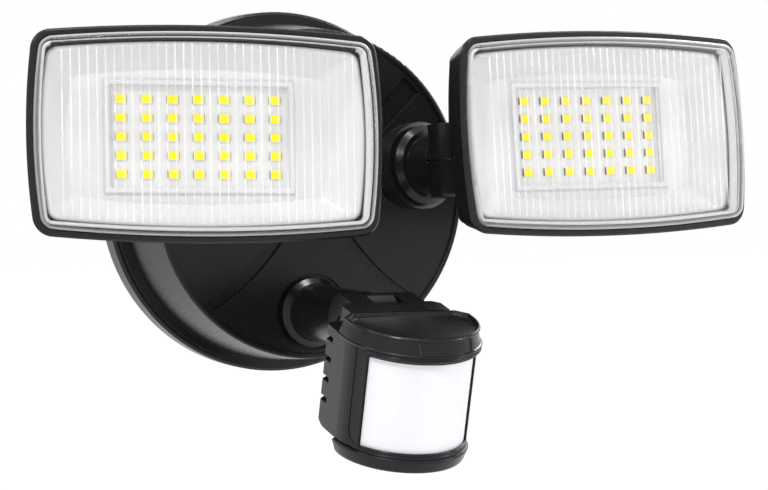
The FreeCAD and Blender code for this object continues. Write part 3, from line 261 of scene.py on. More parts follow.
FIXING_HEAD_THICK, FIXING_SHANK_RADIUS = 3.0, 2.4
fixing_low, fixing_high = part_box("fixing_screw")
fixing_middle = (fixing_low + fixing_high) / 2
fixing_axes = axes_at(Vector((fixing_middle.x, fixing_low.y + FIXING_HEAD_THICK * MM, fixing_middle.z)),
                      Vector((0, 0, 1)), Vector((0, -1, 0)))
fixing_size = ((fixing_high.x - fixing_low.x) / 2 / MM, FIXING_HEAD_THICK, FIXING_SHANK_RADIUS,
               (fixing_high.y - fixing_low.y) / MM - FIXING_HEAD_THICK)
screw("canopy_fixing_screw", "fixing_screw", "base", zinc, fixing_axes, fixing_size,
      "slot", pitch=1.0)

# ---------------------------------------------------------------------------------------------
# Driver: a small power supply, potted in a moulded case of dull, dark grey plastic.  It sits inside
# the canopy, under its face and above the fixing screw.

potted = grained_finish("potted_plastic_case", "#2a2b2e", "#333438", roughness=0.5, grain_mm=0.6,
                        depth_mm=0.02, edge_mm=0.5, shader={"Specular IOR Level": 0.3})
finish_nodes(potted, "driver_grey", "led_driver")

# ---------------------------------------------------------------------------------------------
# Head arms: cast aluminium elbows, coated as the canopy is, each screwed into its socket and held
# by a nut inside.  A cap screw of blackened steel through the knuckle carries the head.

cast_coat = grained_finish("coated_casting", "#101012", "#161618", roughness=0.2, grain_mm=1.1,
                           depth_mm=0.0015, edge_mm=0.35, shader={"Specular IOR Level": 0.3})
finish_nodes(cast_coat, "arm_black", "left_arm", "right_arm")
black_steel = grained_finish("black_oxide_steel", "#232326", "#2c2c2f", roughness=0.32, grain_mm=0.3,
                             depth_mm=0.006, shader={"Metallic": 0.7})


def joint_named(name):
    return next(joint for joint in frame["joints"] if joint["name"] == name)


def head_axes(side):
    """A head's frame: the knuckle's centre, the knuckle's axis and out through the lens."""
    joint = joint_named(side + "_head_turn")
    board = frame["nodes"][side + "_led_board"].data
    fronts = (polygon for polygon in board.polygons if polygon.normal.y < -0.5)
    face = max(fronts, key=lambda polygon: polygon.area)
    return axes_at(Vector(joint["pos_m"]), Vector(joint["axis"]), face.normal.copy())


HEAD_SIDES = {"left": -1, "right": 1}
head_frames = {side: head_axes(side) for side in HEAD_SIDES}
KNUCKLE_HEIGHT, COUNTERBORE_DEPTH, SEAT_GAP, SHANK_BELOW_CENTRE = 25.4, 3.8, 0.3, 12.4
cap_seat = KNUCKLE_HEIGHT / 2 - COUNTERBORE_DEPTH + SEAT_GAP
CAP_SCREW_SIZE = (4.6, 3.0, 2.5, cap_seat + SHANK_BELOW_CENTRE)
for side, axes in head_frames.items():
    up = (axes.to_3x3() @ Vector((0, 1, 0))).normalized()
    out = (axes.to_3x3() @ Vector((0, 0, 1))).normalized()
    screw(side + "_knuckle_cap_screw", side + "_knuckle_screw", side + "_swivel",
          black_steel, axes_at(axes @ Vector((0, cap_seat, 0)), -out, up), CAP_SCREW_SIZE, "hexagon")

# ---------------------------------------------------------------------------------------------
# Housings and bezels: die castings with the satin coat, a little glossier than the canopy's.  Fins
# cool the back, and four cross-head screws come through the housing into the bezel's posts.

head_coat = grained_finish("satin_coated_die_casting", "#121214", "#19191b", roughness=0.23,
                           grain_mm=0.9, depth_mm=0.0015, edge_mm=0.45,
                           shader={"Specular IOR Level": 0.32})
finish_nodes(head_coat, "head_black", "left_housing", "right_housing", "left_bezel", "right_bezel")

HEAD_OFFSET_X, HEAD_OFFSET_Y, HEAD_FRONT, BEZEL_DEPTH = 19.7, 4.0, 58.5, 11.2
SCREW_X, SCREW_Y, BOARD_SEAT, SCREW_FLOOR = 49.0, 25.4, 2.4, 0.8
HEAD_SCREW_SIZE, HEAD_SCREW_PITCH = (2.8, 2.0, 1.45, 7.4), 0.7
for side, hand in HEAD_SIDES.items():
    for number, (a, b) in enumerate(((-1, -1), (1, -1), (-1, 1), (1, 1)), 1):
        seat = Matrix.Translation((hand * HEAD_OFFSET_X + a * SCREW_X, HEAD_OFFSET_Y + b * SCREW_Y,
                                   HEAD_FRONT - BEZEL_DEPTH - BOARD_SEAT - SCREW_FLOOR))
        turned = head_frames[side] @ seat @ Matrix.Rotation(math.pi, 4, "Y")
        screw(f"{side}_head_screw_{number}", None if number > 1 else side + "_head_screws",
              side + "_head", black_steel, turned, HEAD_SCREW_SIZE, "cross",
              pitch=HEAD_SCREW_PITCH)

# ---------------------------------------------------------------------------------------------
# Head lenses: clear polycarbonate pillows that stand proud of their bezels.  The inside of the
# front is fluted from top to bottom, and the flutes are drawn as fine white lines that glow
# faintly: a painted highlight.

BOW_SIDE, BOW_TOP = 2.4, 2.7
SIDE_STEPS, CORNER_STEPS, TOP_STEPS = 14, 10, 20


def bowed_outline(width, height, corner, inset):
    """The points of a rectangle with bowed sides and rounded corners, drawn in by an inset."""
    half_w, half_h = width / 2 - BOW_SIDE, height / 2 - BOW_TOP
    radius_top = (half_w ** 2 + BOW_TOP ** 2) / (2 * BOW_TOP)
    radius_side = (half_h ** 2 + BOW_SIDE ** 2) / (2 * BOW_SIDE)
    top_low = half_h + BOW_TOP - radius_top
    side_in = half_w + BOW_SIDE - radius_side
    # the corner's centre lies a corner radius inside both bows
    reach_top, reach_side = radius_top - corner, radius_side - corner
    gap = math.hypot(side_in, top_low)
    along = (reach_side ** 2 - reach_top ** 2 + gap ** 2) / (2 * gap)
    off = math.sqrt(max(reach_side ** 2 - along ** 2, 0.0))
    ux, uy = -side_in / gap, top_low / gap
    centres = [(side_in + along * ux + sign * off * uy, along * uy - sign * off * ux) for sign in (-1, 1)]
    cx, cy = max(centres, key=lambda point: point[0] + point[1])
    start = math.atan2(cy, cx - side_in)
    end = math.atan2(cy - top_low, cx)
    # a quarter: the right side's bow upwards, the corner and half of the top's bow
    arcs = ((side_in, 0.0, radius_side, 0.0, start, SIDE_STEPS),
            (cx, cy, corner, start, end, CORNER_STEPS),
            (0.0, top_low, radius_top, end, math.pi / 2, TOP_STEPS))
    quarter = []
    for centre_x, centre_y, radius, first, last, steps in arcs:
        for i in range(steps):
            angle = first + (last - first) * i / steps
            quarter.append((centre_x + (radius - inset) * math.cos(angle),
                            centre_y + (radius - inset) * math.sin(angle)))
    top = (0.0, top_low + radius_top - inset)
    half = quarter + [top] + [(-x, y) for x, y in reversed(quarter[1:])]
    return half + [(-quarter[0][0], 0.0)] + [(x, -y) for x, y in reversed(half[1:])]


LENS_WIDTH, LENS_HEIGHT, LENS_CORNER, LENS_EDGE, LENS_WALL = 112.4, 64.8, 4.6, 3.0, 1.6
LENS_SEAT, LENS_FRONT, LENS_CROWN = 55.9, 62.9, 0.5
FLUTES, FLUTE_PITCH, FLUTE_WIDTH, FLUTE_DEPTH, FLUTE_LENGTH = 35, 2.8, 0.5, 0.35, 58.0
FLUTE_MARGIN, FLUTE_SEARCH = 2.2, 3.0
CROWN_SHARES = (0.94, 0.84, 0.7, 0.5, 0.25, 0.06)
CLEAR_CLOUD_MM, RIDGE_CLOUD_MM = 9, 14

# Clear polycarbonate: a pane that shows what is behind it, and veils it where it is seen aslant.
clear = new_material("clear_polycarbonate")
clear_place = add_node(clear, "ShaderNodeTexCoord")
clear_cloud = add_node(clear, "ShaderNodeTexNoise", inputs={
    "Scale": 1 / (CLEAR_CLOUD_MM * MM), "Detail": 2.0}, links={"Vector": (clear_place, "Object")})
clear_polish = add_node(clear, "ShaderNodeMapRange", inputs={"To Min": 0.03, "To Max": 0.09},
                        links={"Value": (clear_cloud, "Fac")})
clear_tone = add_node(clear, "ShaderNodeMix", {"data_type": "RGBA"},
                      {FIRST_COLOUR: srgb("#f3f3f5"), SECOND_COLOUR: srgb("#fafafb")},
                      {0: (clear_cloud, "Fac")})
clear_bump = add_node(clear, "ShaderNodeBump", inputs={"Strength": 0.3, "Distance": 0.01 * MM},
                      links={"Height": (clear_cloud, "Fac")})
facing = add_node(clear, "ShaderNodeLayerWeight", inputs={"Blend": 0.35})
veil = add_node(clear, "ShaderNodeMapRange", inputs={
    "From Min": 0.12, "From Max": 0.8, "To Min": 0.015, "To Max": 0.85},
    links={"Value": (facing, "Facing")})
pane = add_node(clear, "ShaderNodeBsdfPrincipled", inputs={"IOR": 1.58}, links={
    "Base Color": (clear_tone, MIXED_COLOUR), "Roughness": (clear_polish, "Result"),
    "Normal": (clear_bump, "Normal"), "Alpha": (veil, "Result")})
add_node(clear, "ShaderNodeOutputMaterial", links={"Surface": (pane, "BSDF")})

# The flutes: white ridges with a faint glow, a painted highlight that stands in for the light they
# catch; a noise makes the white cover them unevenly along their length.
ridge = new_material("flutes_painted_highlight")
ridge_place = add_node(ridge, "ShaderNodeTexCoord")
ridge_cloud = add_node(ridge, "ShaderNodeTexNoise", inputs={
    "Scale": 1 / (RIDGE_CLOUD_MM * MM), "Detail": 1.0}, links={"Vector": (ridge_place, "Object")})
ridge_cover = add_node(ridge, "ShaderNodeMapRange", inputs={
    "From Min": 0.35, "From Max": 0.65, "To Min": 0.08, "To Max": 0.34},
    links={"Value": (ridge_cloud, "Fac")})
ridge_polish = add_node(ridge, "ShaderNodeMapRange", inputs={"To Min": 0.06, "To Max": 0.14},
                        links={"Value": (ridge_cloud, "Fac")})
ridge_bump = add_node(ridge, "ShaderNodeBump", inputs={"Strength": 0.2, "Distance": 0.01 * MM},
                      links={"Height": (ridge_cloud, "Fac")})
ridge_surface = add_node(ridge, "ShaderNodeBsdfPrincipled", inputs={
    "Base Color": srgb("#fbfbfc"), "IOR": 1.58,
    "Emission Color": srgb("#ffffff"), "Emission Strength": 0.3}, links={
    "Alpha": (ridge_cover, "Result"), "Roughness": (ridge_polish, "Result"),
    "Normal": (ridge_bump, "Normal")})
add_node(ridge, "ShaderNodeOutputMaterial", links={"Surface": (ridge_surface, "BSDF")})


def lens_rings(hand, inset, seat, front, edge):
    """One skin of the pillow, from its seat over the rounded rim to the middle of its front."""
    def ring(drawn_in, height):
        return [(hand * HEAD_OFFSET_X + x, HEAD_OFFSET_Y + y, height)
                for x, y in bowed_outline(LENS_WIDTH, LENS_HEIGHT, LENS_CORNER, inset + drawn_in)]
    rim_steps = 6
    rings = [ring(0.0, seat), ring(0.0, front - edge)]
    for step in range(1, rim_steps + 1):
        angle = math.pi / 2 * step / rim_steps
        rings.append(ring(edge * (1 - math.cos(angle)), front - edge + edge * math.sin(angle)))
    rim = rings[-1]
    middle_x = hand * HEAD_OFFSET_X
    for share in CROWN_SHARES:
        rings.append([(middle_x + share * (x - middle_x), HEAD_OFFSET_Y + share * (y - HEAD_OFFSET_Y),
                       z + LENS_CROWN * (1 - share ** 2)) for x, y, z in rim])
    return rings


def rounded_off(model, width, segments=2):
    """Rounds a model's sharp edges for good."""
    bevel = model.modifiers.new("rounding", "BEVEL")
    bevel.width, bevel.segments, bevel.limit_method = width, segments, "ANGLE"
    bpy.ops.object.modifier_apply(modifier=bevel.name)


def joined_copies(name, body, material, axes, model, places):
    """Copies of one model, each with its own mesh, set at their places and joined."""
    bpy.ops.object.select_all(action="DESELECT")
    copies = []
    for place in places:
        copy = bpy.data.objects.new(name, model.data.copy())
        copy.data.transform(axes @ place)
        bpy.context.scene.collection.objects.link(copy)
        copy.select_set(True)
        copies.append(copy)
    bpy.context.view_layer.objects.active = copies[0]
    bpy.ops.object.join()
    bpy.ops.object.shade_smooth_by_angle(angle=math.radians(35))
    bpy.data.objects.remove(model)
    copies[0].data.materials.append(material)
    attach(copies[0], body)
    return copies[0]


def flute_bar():
    """A round bar along Y with rounded ends, one millimetre thick."""
    bpy.ops.object.select_all(action="DESELECT")
    bpy.ops.mesh.primitive_cylinder_add(vertices=12, radius=0.5, depth=FLUTE_LENGTH,
                                        rotation=(math.pi / 2, 0, 0))
    model = bpy.context.object
    bpy.ops.object.transform_apply(location=True, rotation=True, scale=True)
    rounded_off(model, width=0.3)
    return model


def flute_places(hand, back):
    """Where each flute goes, stretched to reach from the lower to the upper edge of the lens."""
    outline = bowed_outline(LENS_WIDTH, LENS_HEIGHT, LENS_CORNER, LENS_WALL + FLUTE_MARGIN)
    places = []
    for flute in range(FLUTES):
        x = (flute - (FLUTES - 1) / 2) * FLUTE_PITCH
        top = min(y for near, y in outline if y > 0 and abs(near - x) < FLUTE_SEARCH)
        places.append(Matrix.Translation((hand * HEAD_OFFSET_X + x, HEAD_OFFSET_Y, back))
                      @ Matrix.Diagonal((FLUTE_WIDTH, 2 * top / FLUTE_LENGTH, 2 * FLUTE_DEPTH, 1.0)))
    return places


for side, hand in HEAD_SIDES.items():
    outer_front = LENS_FRONT - LENS_CROWN
    inner_front = outer_front - LENS_WALL
    outer = lens_rings(hand, 0.0, LENS_SEAT, outer_front, LENS_EDGE)
    inner = lens_rings(hand, LENS_WALL, LENS_SEAT, inner_front, LENS_EDGE - LENS_WALL)
    lens = ringed_piece(side + "_pillow_lens", side + "_head", clear, head_frames[side],
                        list(reversed(outer)) + inner)
    joined_copies(side + "_lens_flutes", side + "_head", ridge, head_frames[side],
                  flute_bar(), flute_places(hand, inner_front))
    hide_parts(side + "_lens")

# ---------------------------------------------------------------------------------------------
# Reflectors and LED boards: a glossy white moulded tray with a raised frame round its window, and
# behind it the white solder mask of the board, which is a little duller.

tray = grained_finish("glossy_white_plastic", "#ececef", "#f2f2f4", roughness=0.22, grain_mm=1.2,
                      depth_mm=0.003, edge_mm=1.4, shader={"Specular IOR Level": 0.5})
finish_nodes(tray, "reflector_white", "left_reflector", "right_reflector")
mask = grained_finish("white_solder_mask", "#f3f3f2", "#f8f8f7", roughness=0.4, grain_mm=0.3,
                      depth_mm=0.004)
finish_nodes(mask, "board_white", "left_led_board", "right_led_board")

# A white collar fills the gap between the tray and the lens's wall, at the sides and below.  Its
# section is an inset from the head's outline and a height at each of its five corners.
HEAD_WIDTH, HEAD_HEIGHT, HEAD_CORNER = 117.2, 69.6, 7.0
COLLAR_SECTION = ((4.1, 55.95), (4.1, 58.4), (4.3, 58.7), (4.6, 58.6), (5.4, 55.9))
TOP_FROM = SIDE_STEPS + CORNER_STEPS + 1
TOP_TO = TOP_FROM + 2 * TOP_STEPS - 1
for side, hand in HEAD_SIDES.items():
    rings = [[(hand * HEAD_OFFSET_X + x, HEAD_OFFSET_Y + y, height)
              for x, y in bowed_outline(HEAD_WIDTH, HEAD_HEIGHT, HEAD_CORNER, inset)]
             for inset, height in COLLAR_SECTION]
    stations = [*range(TOP_TO, len(rings[0])), *range(TOP_FROM)]
    ringed_piece(side + "_lens_collar", side + "_head", tray, head_frames[side],
                 [[ring[station] for ring in rings] for station in stations])

# ---------------------------------------------------------------------------------------------
# LED packages: 35 a head, each a small white body with a terminal at either end, coloured dark as
# painted shade, and a pad of matt yellow phosphor sunk into its top, whose faint glow is painted light.

# The phosphor's faint yellow glow is painted light that brightens the pad; the LEDs are not lit.
phosphor = grained_finish("yellow_phosphor_painted_glow", "#ffe610", "#ffec2c", roughness=0.45, grain_mm=0.25,
                          depth_mm=0.02, shader={"Specular IOR Level": 0.2,
                                                 "Emission Color": srgb("#ffe610"),
                                                 "Emission Strength": 0.25})
package = grained_finish("package_plastic", "#efeee6", "#f6f5ee", roughness=0.35, grain_mm=0.3,
                         depth_mm=0.005)
# The terminals are real, but their dull dark brown-grey is painted shade: the dark strip along a
# package's side.
terminal = grained_finish("terminal_painted_shade", "#5f5a4c", "#78725f", roughness=0.4, grain_mm=0.2,
                          depth_mm=0.004, shader={"Metallic": 0.3})
LED_COLUMNS, LED_ROWS, LED_PITCH_X, LED_PITCH_Y, BOARD_TOP = 7, 5, 8.5, 6.0, 46.5
LED_WIDTH, LED_HEIGHT, LED_THICK, LED_RIM, LED_SUNK = 3.6, 3.0, 0.8, 0.14, 0.2
PAD_GAP, PAD_PROUD, TERMINAL_LENGTH, TERMINAL_MARGIN, TERMINAL_SUNK = 0.03, 0.05, 0.3, 0.25, 0.02


def block(wide, high, thick):
    """A block in millimetres that stands on the origin."""
    bpy.ops.object.select_all(action="DESELECT")
    bpy.ops.mesh.primitive_cube_add(size=1, location=(0, 0, thick / 2), scale=(wide, high, thick))
    model = bpy.context.object
    bpy.ops.object.transform_apply(location=True, rotation=True, scale=True)
    return model


def package_body():
    """A package's body: a block with a window sunk into its top and rounded edges."""
    model = block(LED_WIDTH, LED_HEIGHT, LED_THICK)
    for polygon in model.data.polygons:
        polygon.select = polygon.normal.z > 0.9
    bpy.ops.object.mode_set(mode="EDIT")
    bpy.ops.mesh.select_mode(type="FACE")
    bpy.ops.mesh.inset(thickness=LED_RIM)
    bpy.ops.mesh.extrude_region_move(TRANSFORM_OT_translate={"value": (0, 0, -LED_SUNK)})
    bpy.ops.object.mode_set(mode="OBJECT")
    rounded_off(model, width=0.06)
    return model


def phosphor_pad():
    """The pad that fills the window, a little proud and soft at its edges."""
    margin = 2 * (LED_RIM + PAD_GAP)
    model = block(LED_WIDTH - margin, LED_HEIGHT - margin, LED_SUNK + PAD_PROUD)
    rounded_off(model, width=0.12, segments=3)
    return model


def end_terminal():
    """The plated strip at an end of the package."""
    model = block(TERMINAL_LENGTH, LED_HEIGHT - 2 * TERMINAL_MARGIN, 0.9 * LED_THICK)
    rounded_off(model, width=0.05)
    return model


for side, hand in HEAD_SIDES.items():
    grid = [Matrix.Translation((hand * HEAD_OFFSET_X + (column - (LED_COLUMNS - 1) / 2) * LED_PITCH_X,
                                HEAD_OFFSET_Y + (row - (LED_ROWS - 1) / 2) * LED_PITCH_Y, BOARD_TOP))
            for column in range(LED_COLUMNS) for row in range(LED_ROWS)]
    windows = [place @ Matrix.Translation((0, 0, LED_THICK - LED_SUNK)) for place in grid]
    ends = [place @ Matrix.Translation((end * (LED_WIDTH / 2 - TERMINAL_SUNK), 0, 0))
            for place in grid for end in (-1, 1)]
    for name, slot, material, model, places in (
            ("led_bodies", "led_yellow", package, package_body(), grid),
            ("led_phosphor", "led_yellow", phosphor, phosphor_pad(), windows),
            ("led_terminals", "zinc_steel", terminal, end_terminal(), ends)):
        piece = joined_copies(f"{side}_{name}", side + "_head", material, head_frames[side],
                              model, places)
        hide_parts(side + "_led_chips")

# ---------------------------------------------------------------------------------------------
# Sensor arm and shells: moulded black plastic, satin with a fine grain.  The arm is held by a nut
# inside the canopy, and a cross-head screw is the hinge.

moulded = grained_finish("fine_grained_black_plastic", "#121215", "#18181c", roughness=0.24,
                         grain_mm=0.5, depth_mm=0.001, edge_mm=0.3,
                         shader={"Specular IOR Level": 0.28})
finish_nodes(moulded, "sensor_black", "sensor_arm", "sensor_rear_housing")

HINGE_HEAD_RADIUS, HINGE_HEAD_THICK, HINGE_SHANK_RADIUS = 4.6, 2.7, 2.5
hinge_low, hinge_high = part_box("sensor_hinge_screw")
hinge_middle = (hinge_low + hinge_high) / 2
hinge_seat = hinge_high.x - HINGE_HEAD_THICK * MM
hinge_axes = axes_at(Vector((hinge_seat, hinge_middle.y, hinge_middle.z)),
                     Vector((0, 0, 1)), Vector((1, 0, 0)))
hinge_size = (HINGE_HEAD_RADIUS, HINGE_HEAD_THICK, HINGE_SHANK_RADIUS, (hinge_seat - hinge_low.x) / MM)
screw("sensor_hinge_cross_screw", "sensor_hinge_screw", "sensor_swivel", black_steel,
      hinge_axes, hinge_size, "cross")

# ---------------------------------------------------------------------------------------------
# Sensor lens: a thin translucent white shell, curved round the detector, with the faint outlines
# of its small moulded lenses in it.

SEGMENT_WIDTH, SEGMENT_HEIGHT, SATIN_GRAIN = 5.2, 8.0, 1 / 3
white_lens = new_material("white_segmented_lens")
lens_uv = add_node(white_lens, "ShaderNodeUVMap", {"uv_map": "segments"})
cells = add_node(white_lens, "ShaderNodeTexBrick", {"offset": 0.0}, {
    "Color1": srgb("#eeedf1"), "Color2": srgb("#edecf0"), "Mortar": srgb("#eae9ee"), "Scale": 1.0,
    "Mortar Size": 0.12, "Mortar Smooth": 0.6, "Brick Width": SEGMENT_WIDTH,
    "Row Height": SEGMENT_HEIGHT}, {"Vector": (lens_uv, "UV")})
satin = add_node(white_lens, "ShaderNodeTexNoise", inputs={"Scale": 1 / SATIN_GRAIN, "Detail": 2.0},
                 links={"Vector": (lens_uv, "UV")})
lens_polish = add_node(white_lens, "ShaderNodeMapRange", inputs={"To Min": 0.34, "To Max": 0.44},
                       links={"Value": (satin, "Fac")})
segment_bump = add_node(white_lens, "ShaderNodeBump", inputs={"Strength": 0.2, "Distance": 0.02 * MM},
                        links={"Height": (cells, "Fac")})
lens_surface = add_node(white_lens, "ShaderNodeBsdfPrincipled", inputs={
    "Specular IOR Level": 0.2, "Subsurface Weight": 0.25, "Subsurface Scale": 1.0 * MM,
    "Subsurface Radius": (1, 1, 1)}, links={
    "Base Color": (cells, "Color"), "Roughness": (lens_polish, "Result"),
    "Normal": (segment_bump, "Normal")})
add_node(white_lens, "ShaderNodeOutputMaterial", links={"Surface": (lens_surface, "BSDF")})

TILT = math.radians(14.6)
sensor_axes = axes_at(Vector(joint_named("sensor_tilt")["pos_m"]),
                      Vector((0, -math.sin(TILT), math.cos(TILT))),
                      Vector((0, -math.cos(TILT), -math.sin(TILT))))
DOME_RADIUS, DOME_WALL, DOME_HALF_HEIGHT, DOME_REACH = 21.4, 1.2, 15.9, math.radians(61)
DOME_Y, DOME_Z, DOME_COLUMNS, DOME_ROWS = -13.6, 27.1, 48, 14


def dome_point(radius, column, row):
    """A point of one skin of the lens, by its column round the front and its row upwards."""
    angle = DOME_REACH * (2 * column / DOME_COLUMNS - 1)
    return (radius * math.sin(angle), DOME_Y + DOME_HALF_HEIGHT * (2 * row / DOME_ROWS - 1),
            DOME_Z + radius * math.cos(angle))


dome_points = [dome_point(radius, column, row) for radius in (DOME_RADIUS, DOME_RADIUS - DOME_WALL)
               for column in range(DOME_COLUMNS + 1) for row in range(DOME_ROWS + 1)]
span = DOME_ROWS + 1
inside = (DOME_COLUMNS + 1) * span
dome_faces = []
for column in range(DOME_COLUMNS):
    for row in range(DOME_ROWS):
        a = column * span + row
        dome_faces.append((a, a + span, a + span + 1, a + 1))
        dome_faces.append((inside + a, inside + a + 1, inside + a + span + 1, inside + a + span))
    for row in (0, DOME_ROWS):
        a = column * span + row
        dome_faces.append((a, a + span, inside + a + span, inside + a))
for column in (0, DOME_COLUMNS):
    for row in range(DOME_ROWS):
        a = column * span + row
        dome_faces.append((a, a + 1, inside + a + 1, inside + a))
dome = new_piece("sensor_segmented_lens", "sensor", white_lens, sensor_axes,
                 dome_points, dome_faces)
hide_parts("sensor_lens")
segments = dome.data.uv_layers.new(name="segments")
for loop in dome.data.loops:
    x, y, z = dome_points[loop.vertex_index]
    segments.data[loop.index].uv = (DOME_RADIUS * math.atan2(x, z - DOME_Z), y - DOME_Y)

# ---------------------------------------------------------------------------------------------
# Sensor's front shell: a moulded back wall with a pillar at either end of the lens.  Each pillar's
# face slopes in from a crease, and a fine bead runs down the creases and along under the lens.


def sensor_piece(name, rings, sharp=28):
    """A piece of the sensor's moulded shell."""
    return ringed_piece(name, "sensor", moulded, sensor_axes, rings, sharp)


# Half of the shell's section: along the side to the crease, over the pillar's front edge and down
# its inner side to the back wall.
SHELL_HALF = ((22.4, 26.0), (22.2, 29.0), (21.5, 32.2), (21.1, 32.9), (19.75, 37.5), (19.35, 37.85),
              (19.05, 37.4), (17.95, 36.5), (16.4, 35.6), (16.4, 34.4), (19.6, 31.6), (20.3, 28.0))
SHELL_LEVELS = (-30.9, -16.0, -2.0, 3.5)
shell_outline = list(SHELL_HALF) + [(-x, z) for x, z in reversed(SHELL_HALF)]
front_shell = sensor_piece("sensor_front_shell",
                           [[(x, level, z) for x, z in shell_outline] for level in SHELL_LEVELS],
                           sharp=20)
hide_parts("sensor_front_housing")


def bead(name, path, radius):
    """A fine round bead along a path of points."""
    rings = []
    for i, point in enumerate(path):
        before, after = Vector(path[max(i - 1, 0)]), Vector(path[min(i + 1, len(path) - 1)])
        turn = (after - before).to_track_quat("Z", "Y")
        rings.append([Vector(point) + turn @ Vector(spoke) for spoke in circle(radius, 0, 8)])
    return sensor_piece(name, rings, sharp=80)


CUP_RADIUS, CUP_CENTRE = 23.2, 27.1
BEAD_RADIUS, BEAD_X, BEAD_Z, BEAD_TOP, BEAD_FLOOR, BEAD_SWEEP = 0.3, -21.35, 32.5, 3.2, -29.5, 22.25
down_pillar = [(BEAD_X, BEAD_TOP - 2.0 * i, BEAD_Z) for i in range(15)]
round_foot = [(-21.2, -27.6, 33.2), (-20.8, -28.7, 34.4), (-20.1, -29.3, 36.2)]
pillar_line = down_pillar + round_foot
front_line = [(BEAD_SWEEP * math.sin(math.radians(angle)), BEAD_FLOOR,
               CUP_CENTRE + BEAD_SWEEP * math.cos(math.radians(angle))) for angle in range(-60, 61, 4)]
bead("sensor_frame_bead", pillar_line + front_line + [(-x, y, z) for x, y, z in reversed(pillar_line)],
     BEAD_RADIUS)

# ---------------------------------------------------------------------------------------------
# Visor: a moulded hood over the lens.  Its dished top has a raised bead along the edge; the front
# band leans back, steps at a slanted seam, has one narrow rib and ends in a double lip.

HOOD_RADIUS, HOOD_CENTRE, HOOD_BACK, HOOD_LOW, REAR_CORNER = 24.0, 26.8, 18.4, 3.7, 3.6
SEAM_ANGLE, SEAM_SLANT, SEAM_BLEND = -14.4, 0.62, 0.6
RIB_FROM, RIB_TO, RIB_BLEND = 35.2, 38.2, 0.7


def rear_corners(half, level, back):
    """The chamfered rear of the hood or the cup at one level, from right to left."""
    return [(half, level, back + REAR_CORNER), (half - REAR_CORNER, level, back),
            (REAR_CORNER - half, level, back), (-half, level, back + REAR_CORNER)]


def hood_ring(drawn_in, level, relief=0.0):
    """One level of the hood: a half-round front with seam and rib, and the chamfered rear."""
    half = HOOD_RADIUS - drawn_in
    seam = SEAM_ANGLE - SEAM_SLANT * (level - HOOD_LOW)
    spans = ((-90.0, seam - SEAM_BLEND, 20, 0.0), (seam + SEAM_BLEND, RIB_FROM - RIB_BLEND, 14, 1.0),
             (RIB_FROM, RIB_TO, 3, 0.0), (RIB_TO + RIB_BLEND, 90.0, 20, 1.0))
    front = []
    for start, end, steps, sunk in spans:
        for step in range(steps + 1):
            angle = math.radians(start + (end - start) * step / steps)
            radius = half - relief * sunk
            front.append((radius * math.sin(angle), level, HOOD_CENTRE + radius * math.cos(angle)))
    return front + rear_corners(half, level, HOOD_BACK + drawn_in)


def shrunk(ring, share, level):
    """A ring drawn towards its middle, at another level."""
    middle = sum((Vector(point) for point in ring), Vector()) / len(ring)
    return [(middle.x + share * (x - middle.x), level, middle.z + share * (z - middle.z))
            for x, _, z in ring]


# The hood's levels from its lower edge up the band and over the top bead into the dish, each with
# its inset, its height and how far the rib and the band's left end stand out.
HOOD_PROFILE = (
    (0.9, HOOD_LOW), (0.3, 3.85), (0.0, 4.25), (0.05, 4.5, 0.15), (0.35, 4.75, 0.45), (1.3, 8.6, 0.45),
    (1.5, 9.0, 0.2), (1.3, 9.2), (1.25, 9.6), (1.5, 10.0), (1.9, 10.1), (2.3, 9.95), (2.5, 9.5),
    (2.9, 9.1), (4.0, 8.9))
rings = [hood_ring(*station) for station in HOOD_PROFILE]
dish = [shrunk(rings[-1], share, level) for share, level in ((0.8, 8.5), (0.5, 8.2), (0.15, 8.1))]
hood = sensor_piece("sensor_hood", [shrunk(rings[0], 0.5, HOOD_LOW)] + rings + dish)
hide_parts("sensor_visor")


def arc_strip(name, centre, section, reach):
    """A strip with one section of radii and levels, swept round the lens's front."""
    half_steps = 30
    rings = []
    for step in range(2 * half_steps + 1):
        angle = math.radians(reach * (step / half_steps - 1))
        rings.append([(radius * math.sin(angle), level, centre + radius * math.cos(angle))
                      for radius, level in section])
    return sensor_piece(name, rings)


LIP_SECTION = ((23.6, 3.9), (23.6, 3.4), (23.95, 3.1), (23.95, 2.6), (23.6, 2.3), (23.3, 2.25),
               (23.25, 1.8), (23.0, 1.6), (22.0, 1.6), (22.0, 3.9))
arc_strip("sensor_hood_lip", HOOD_CENTRE, LIP_SECTION, reach=62)

# ---------------------------------------------------------------------------------------------
# Cup: closes the shell below the lens.  Its top edge flares, its wall leans in to a rounded
# bottom, and a stepped ledge rises behind the lens's lower edge.

CUP_TOP, CUP_BOTTOM, CUP_BACK = -30.95, -35.9, 21.5


def cup_ring(drawn_in, level):
    """One level of the cup: a half-round front and the chamfered rear."""
    half = CUP_RADIUS - drawn_in
    front = [(half * math.sin(angle), level, CUP_CENTRE + half * math.cos(angle))
             for angle in (math.radians(degrees) for degrees in range(-90, 91, 3))]
    return front + rear_corners(half, level, CUP_BACK + drawn_in)


CUP_PROFILE = ((0.75, CUP_TOP), (0.35, -31.05), (0.05, -31.4), (0.0, -31.8), (0.15, -32.2),
               (0.85, -34.7), (1.1, -35.3), (1.5, -35.75), (1.95, CUP_BOTTOM))
rings = [cup_ring(*station) for station in CUP_PROFILE]
cup = sensor_piece("sensor_lower_cup",
                   [shrunk(rings[0], 0.5, CUP_TOP)] + rings + [shrunk(rings[-1], 0.9, CUP_BOTTOM)])
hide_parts("sensor_cup")

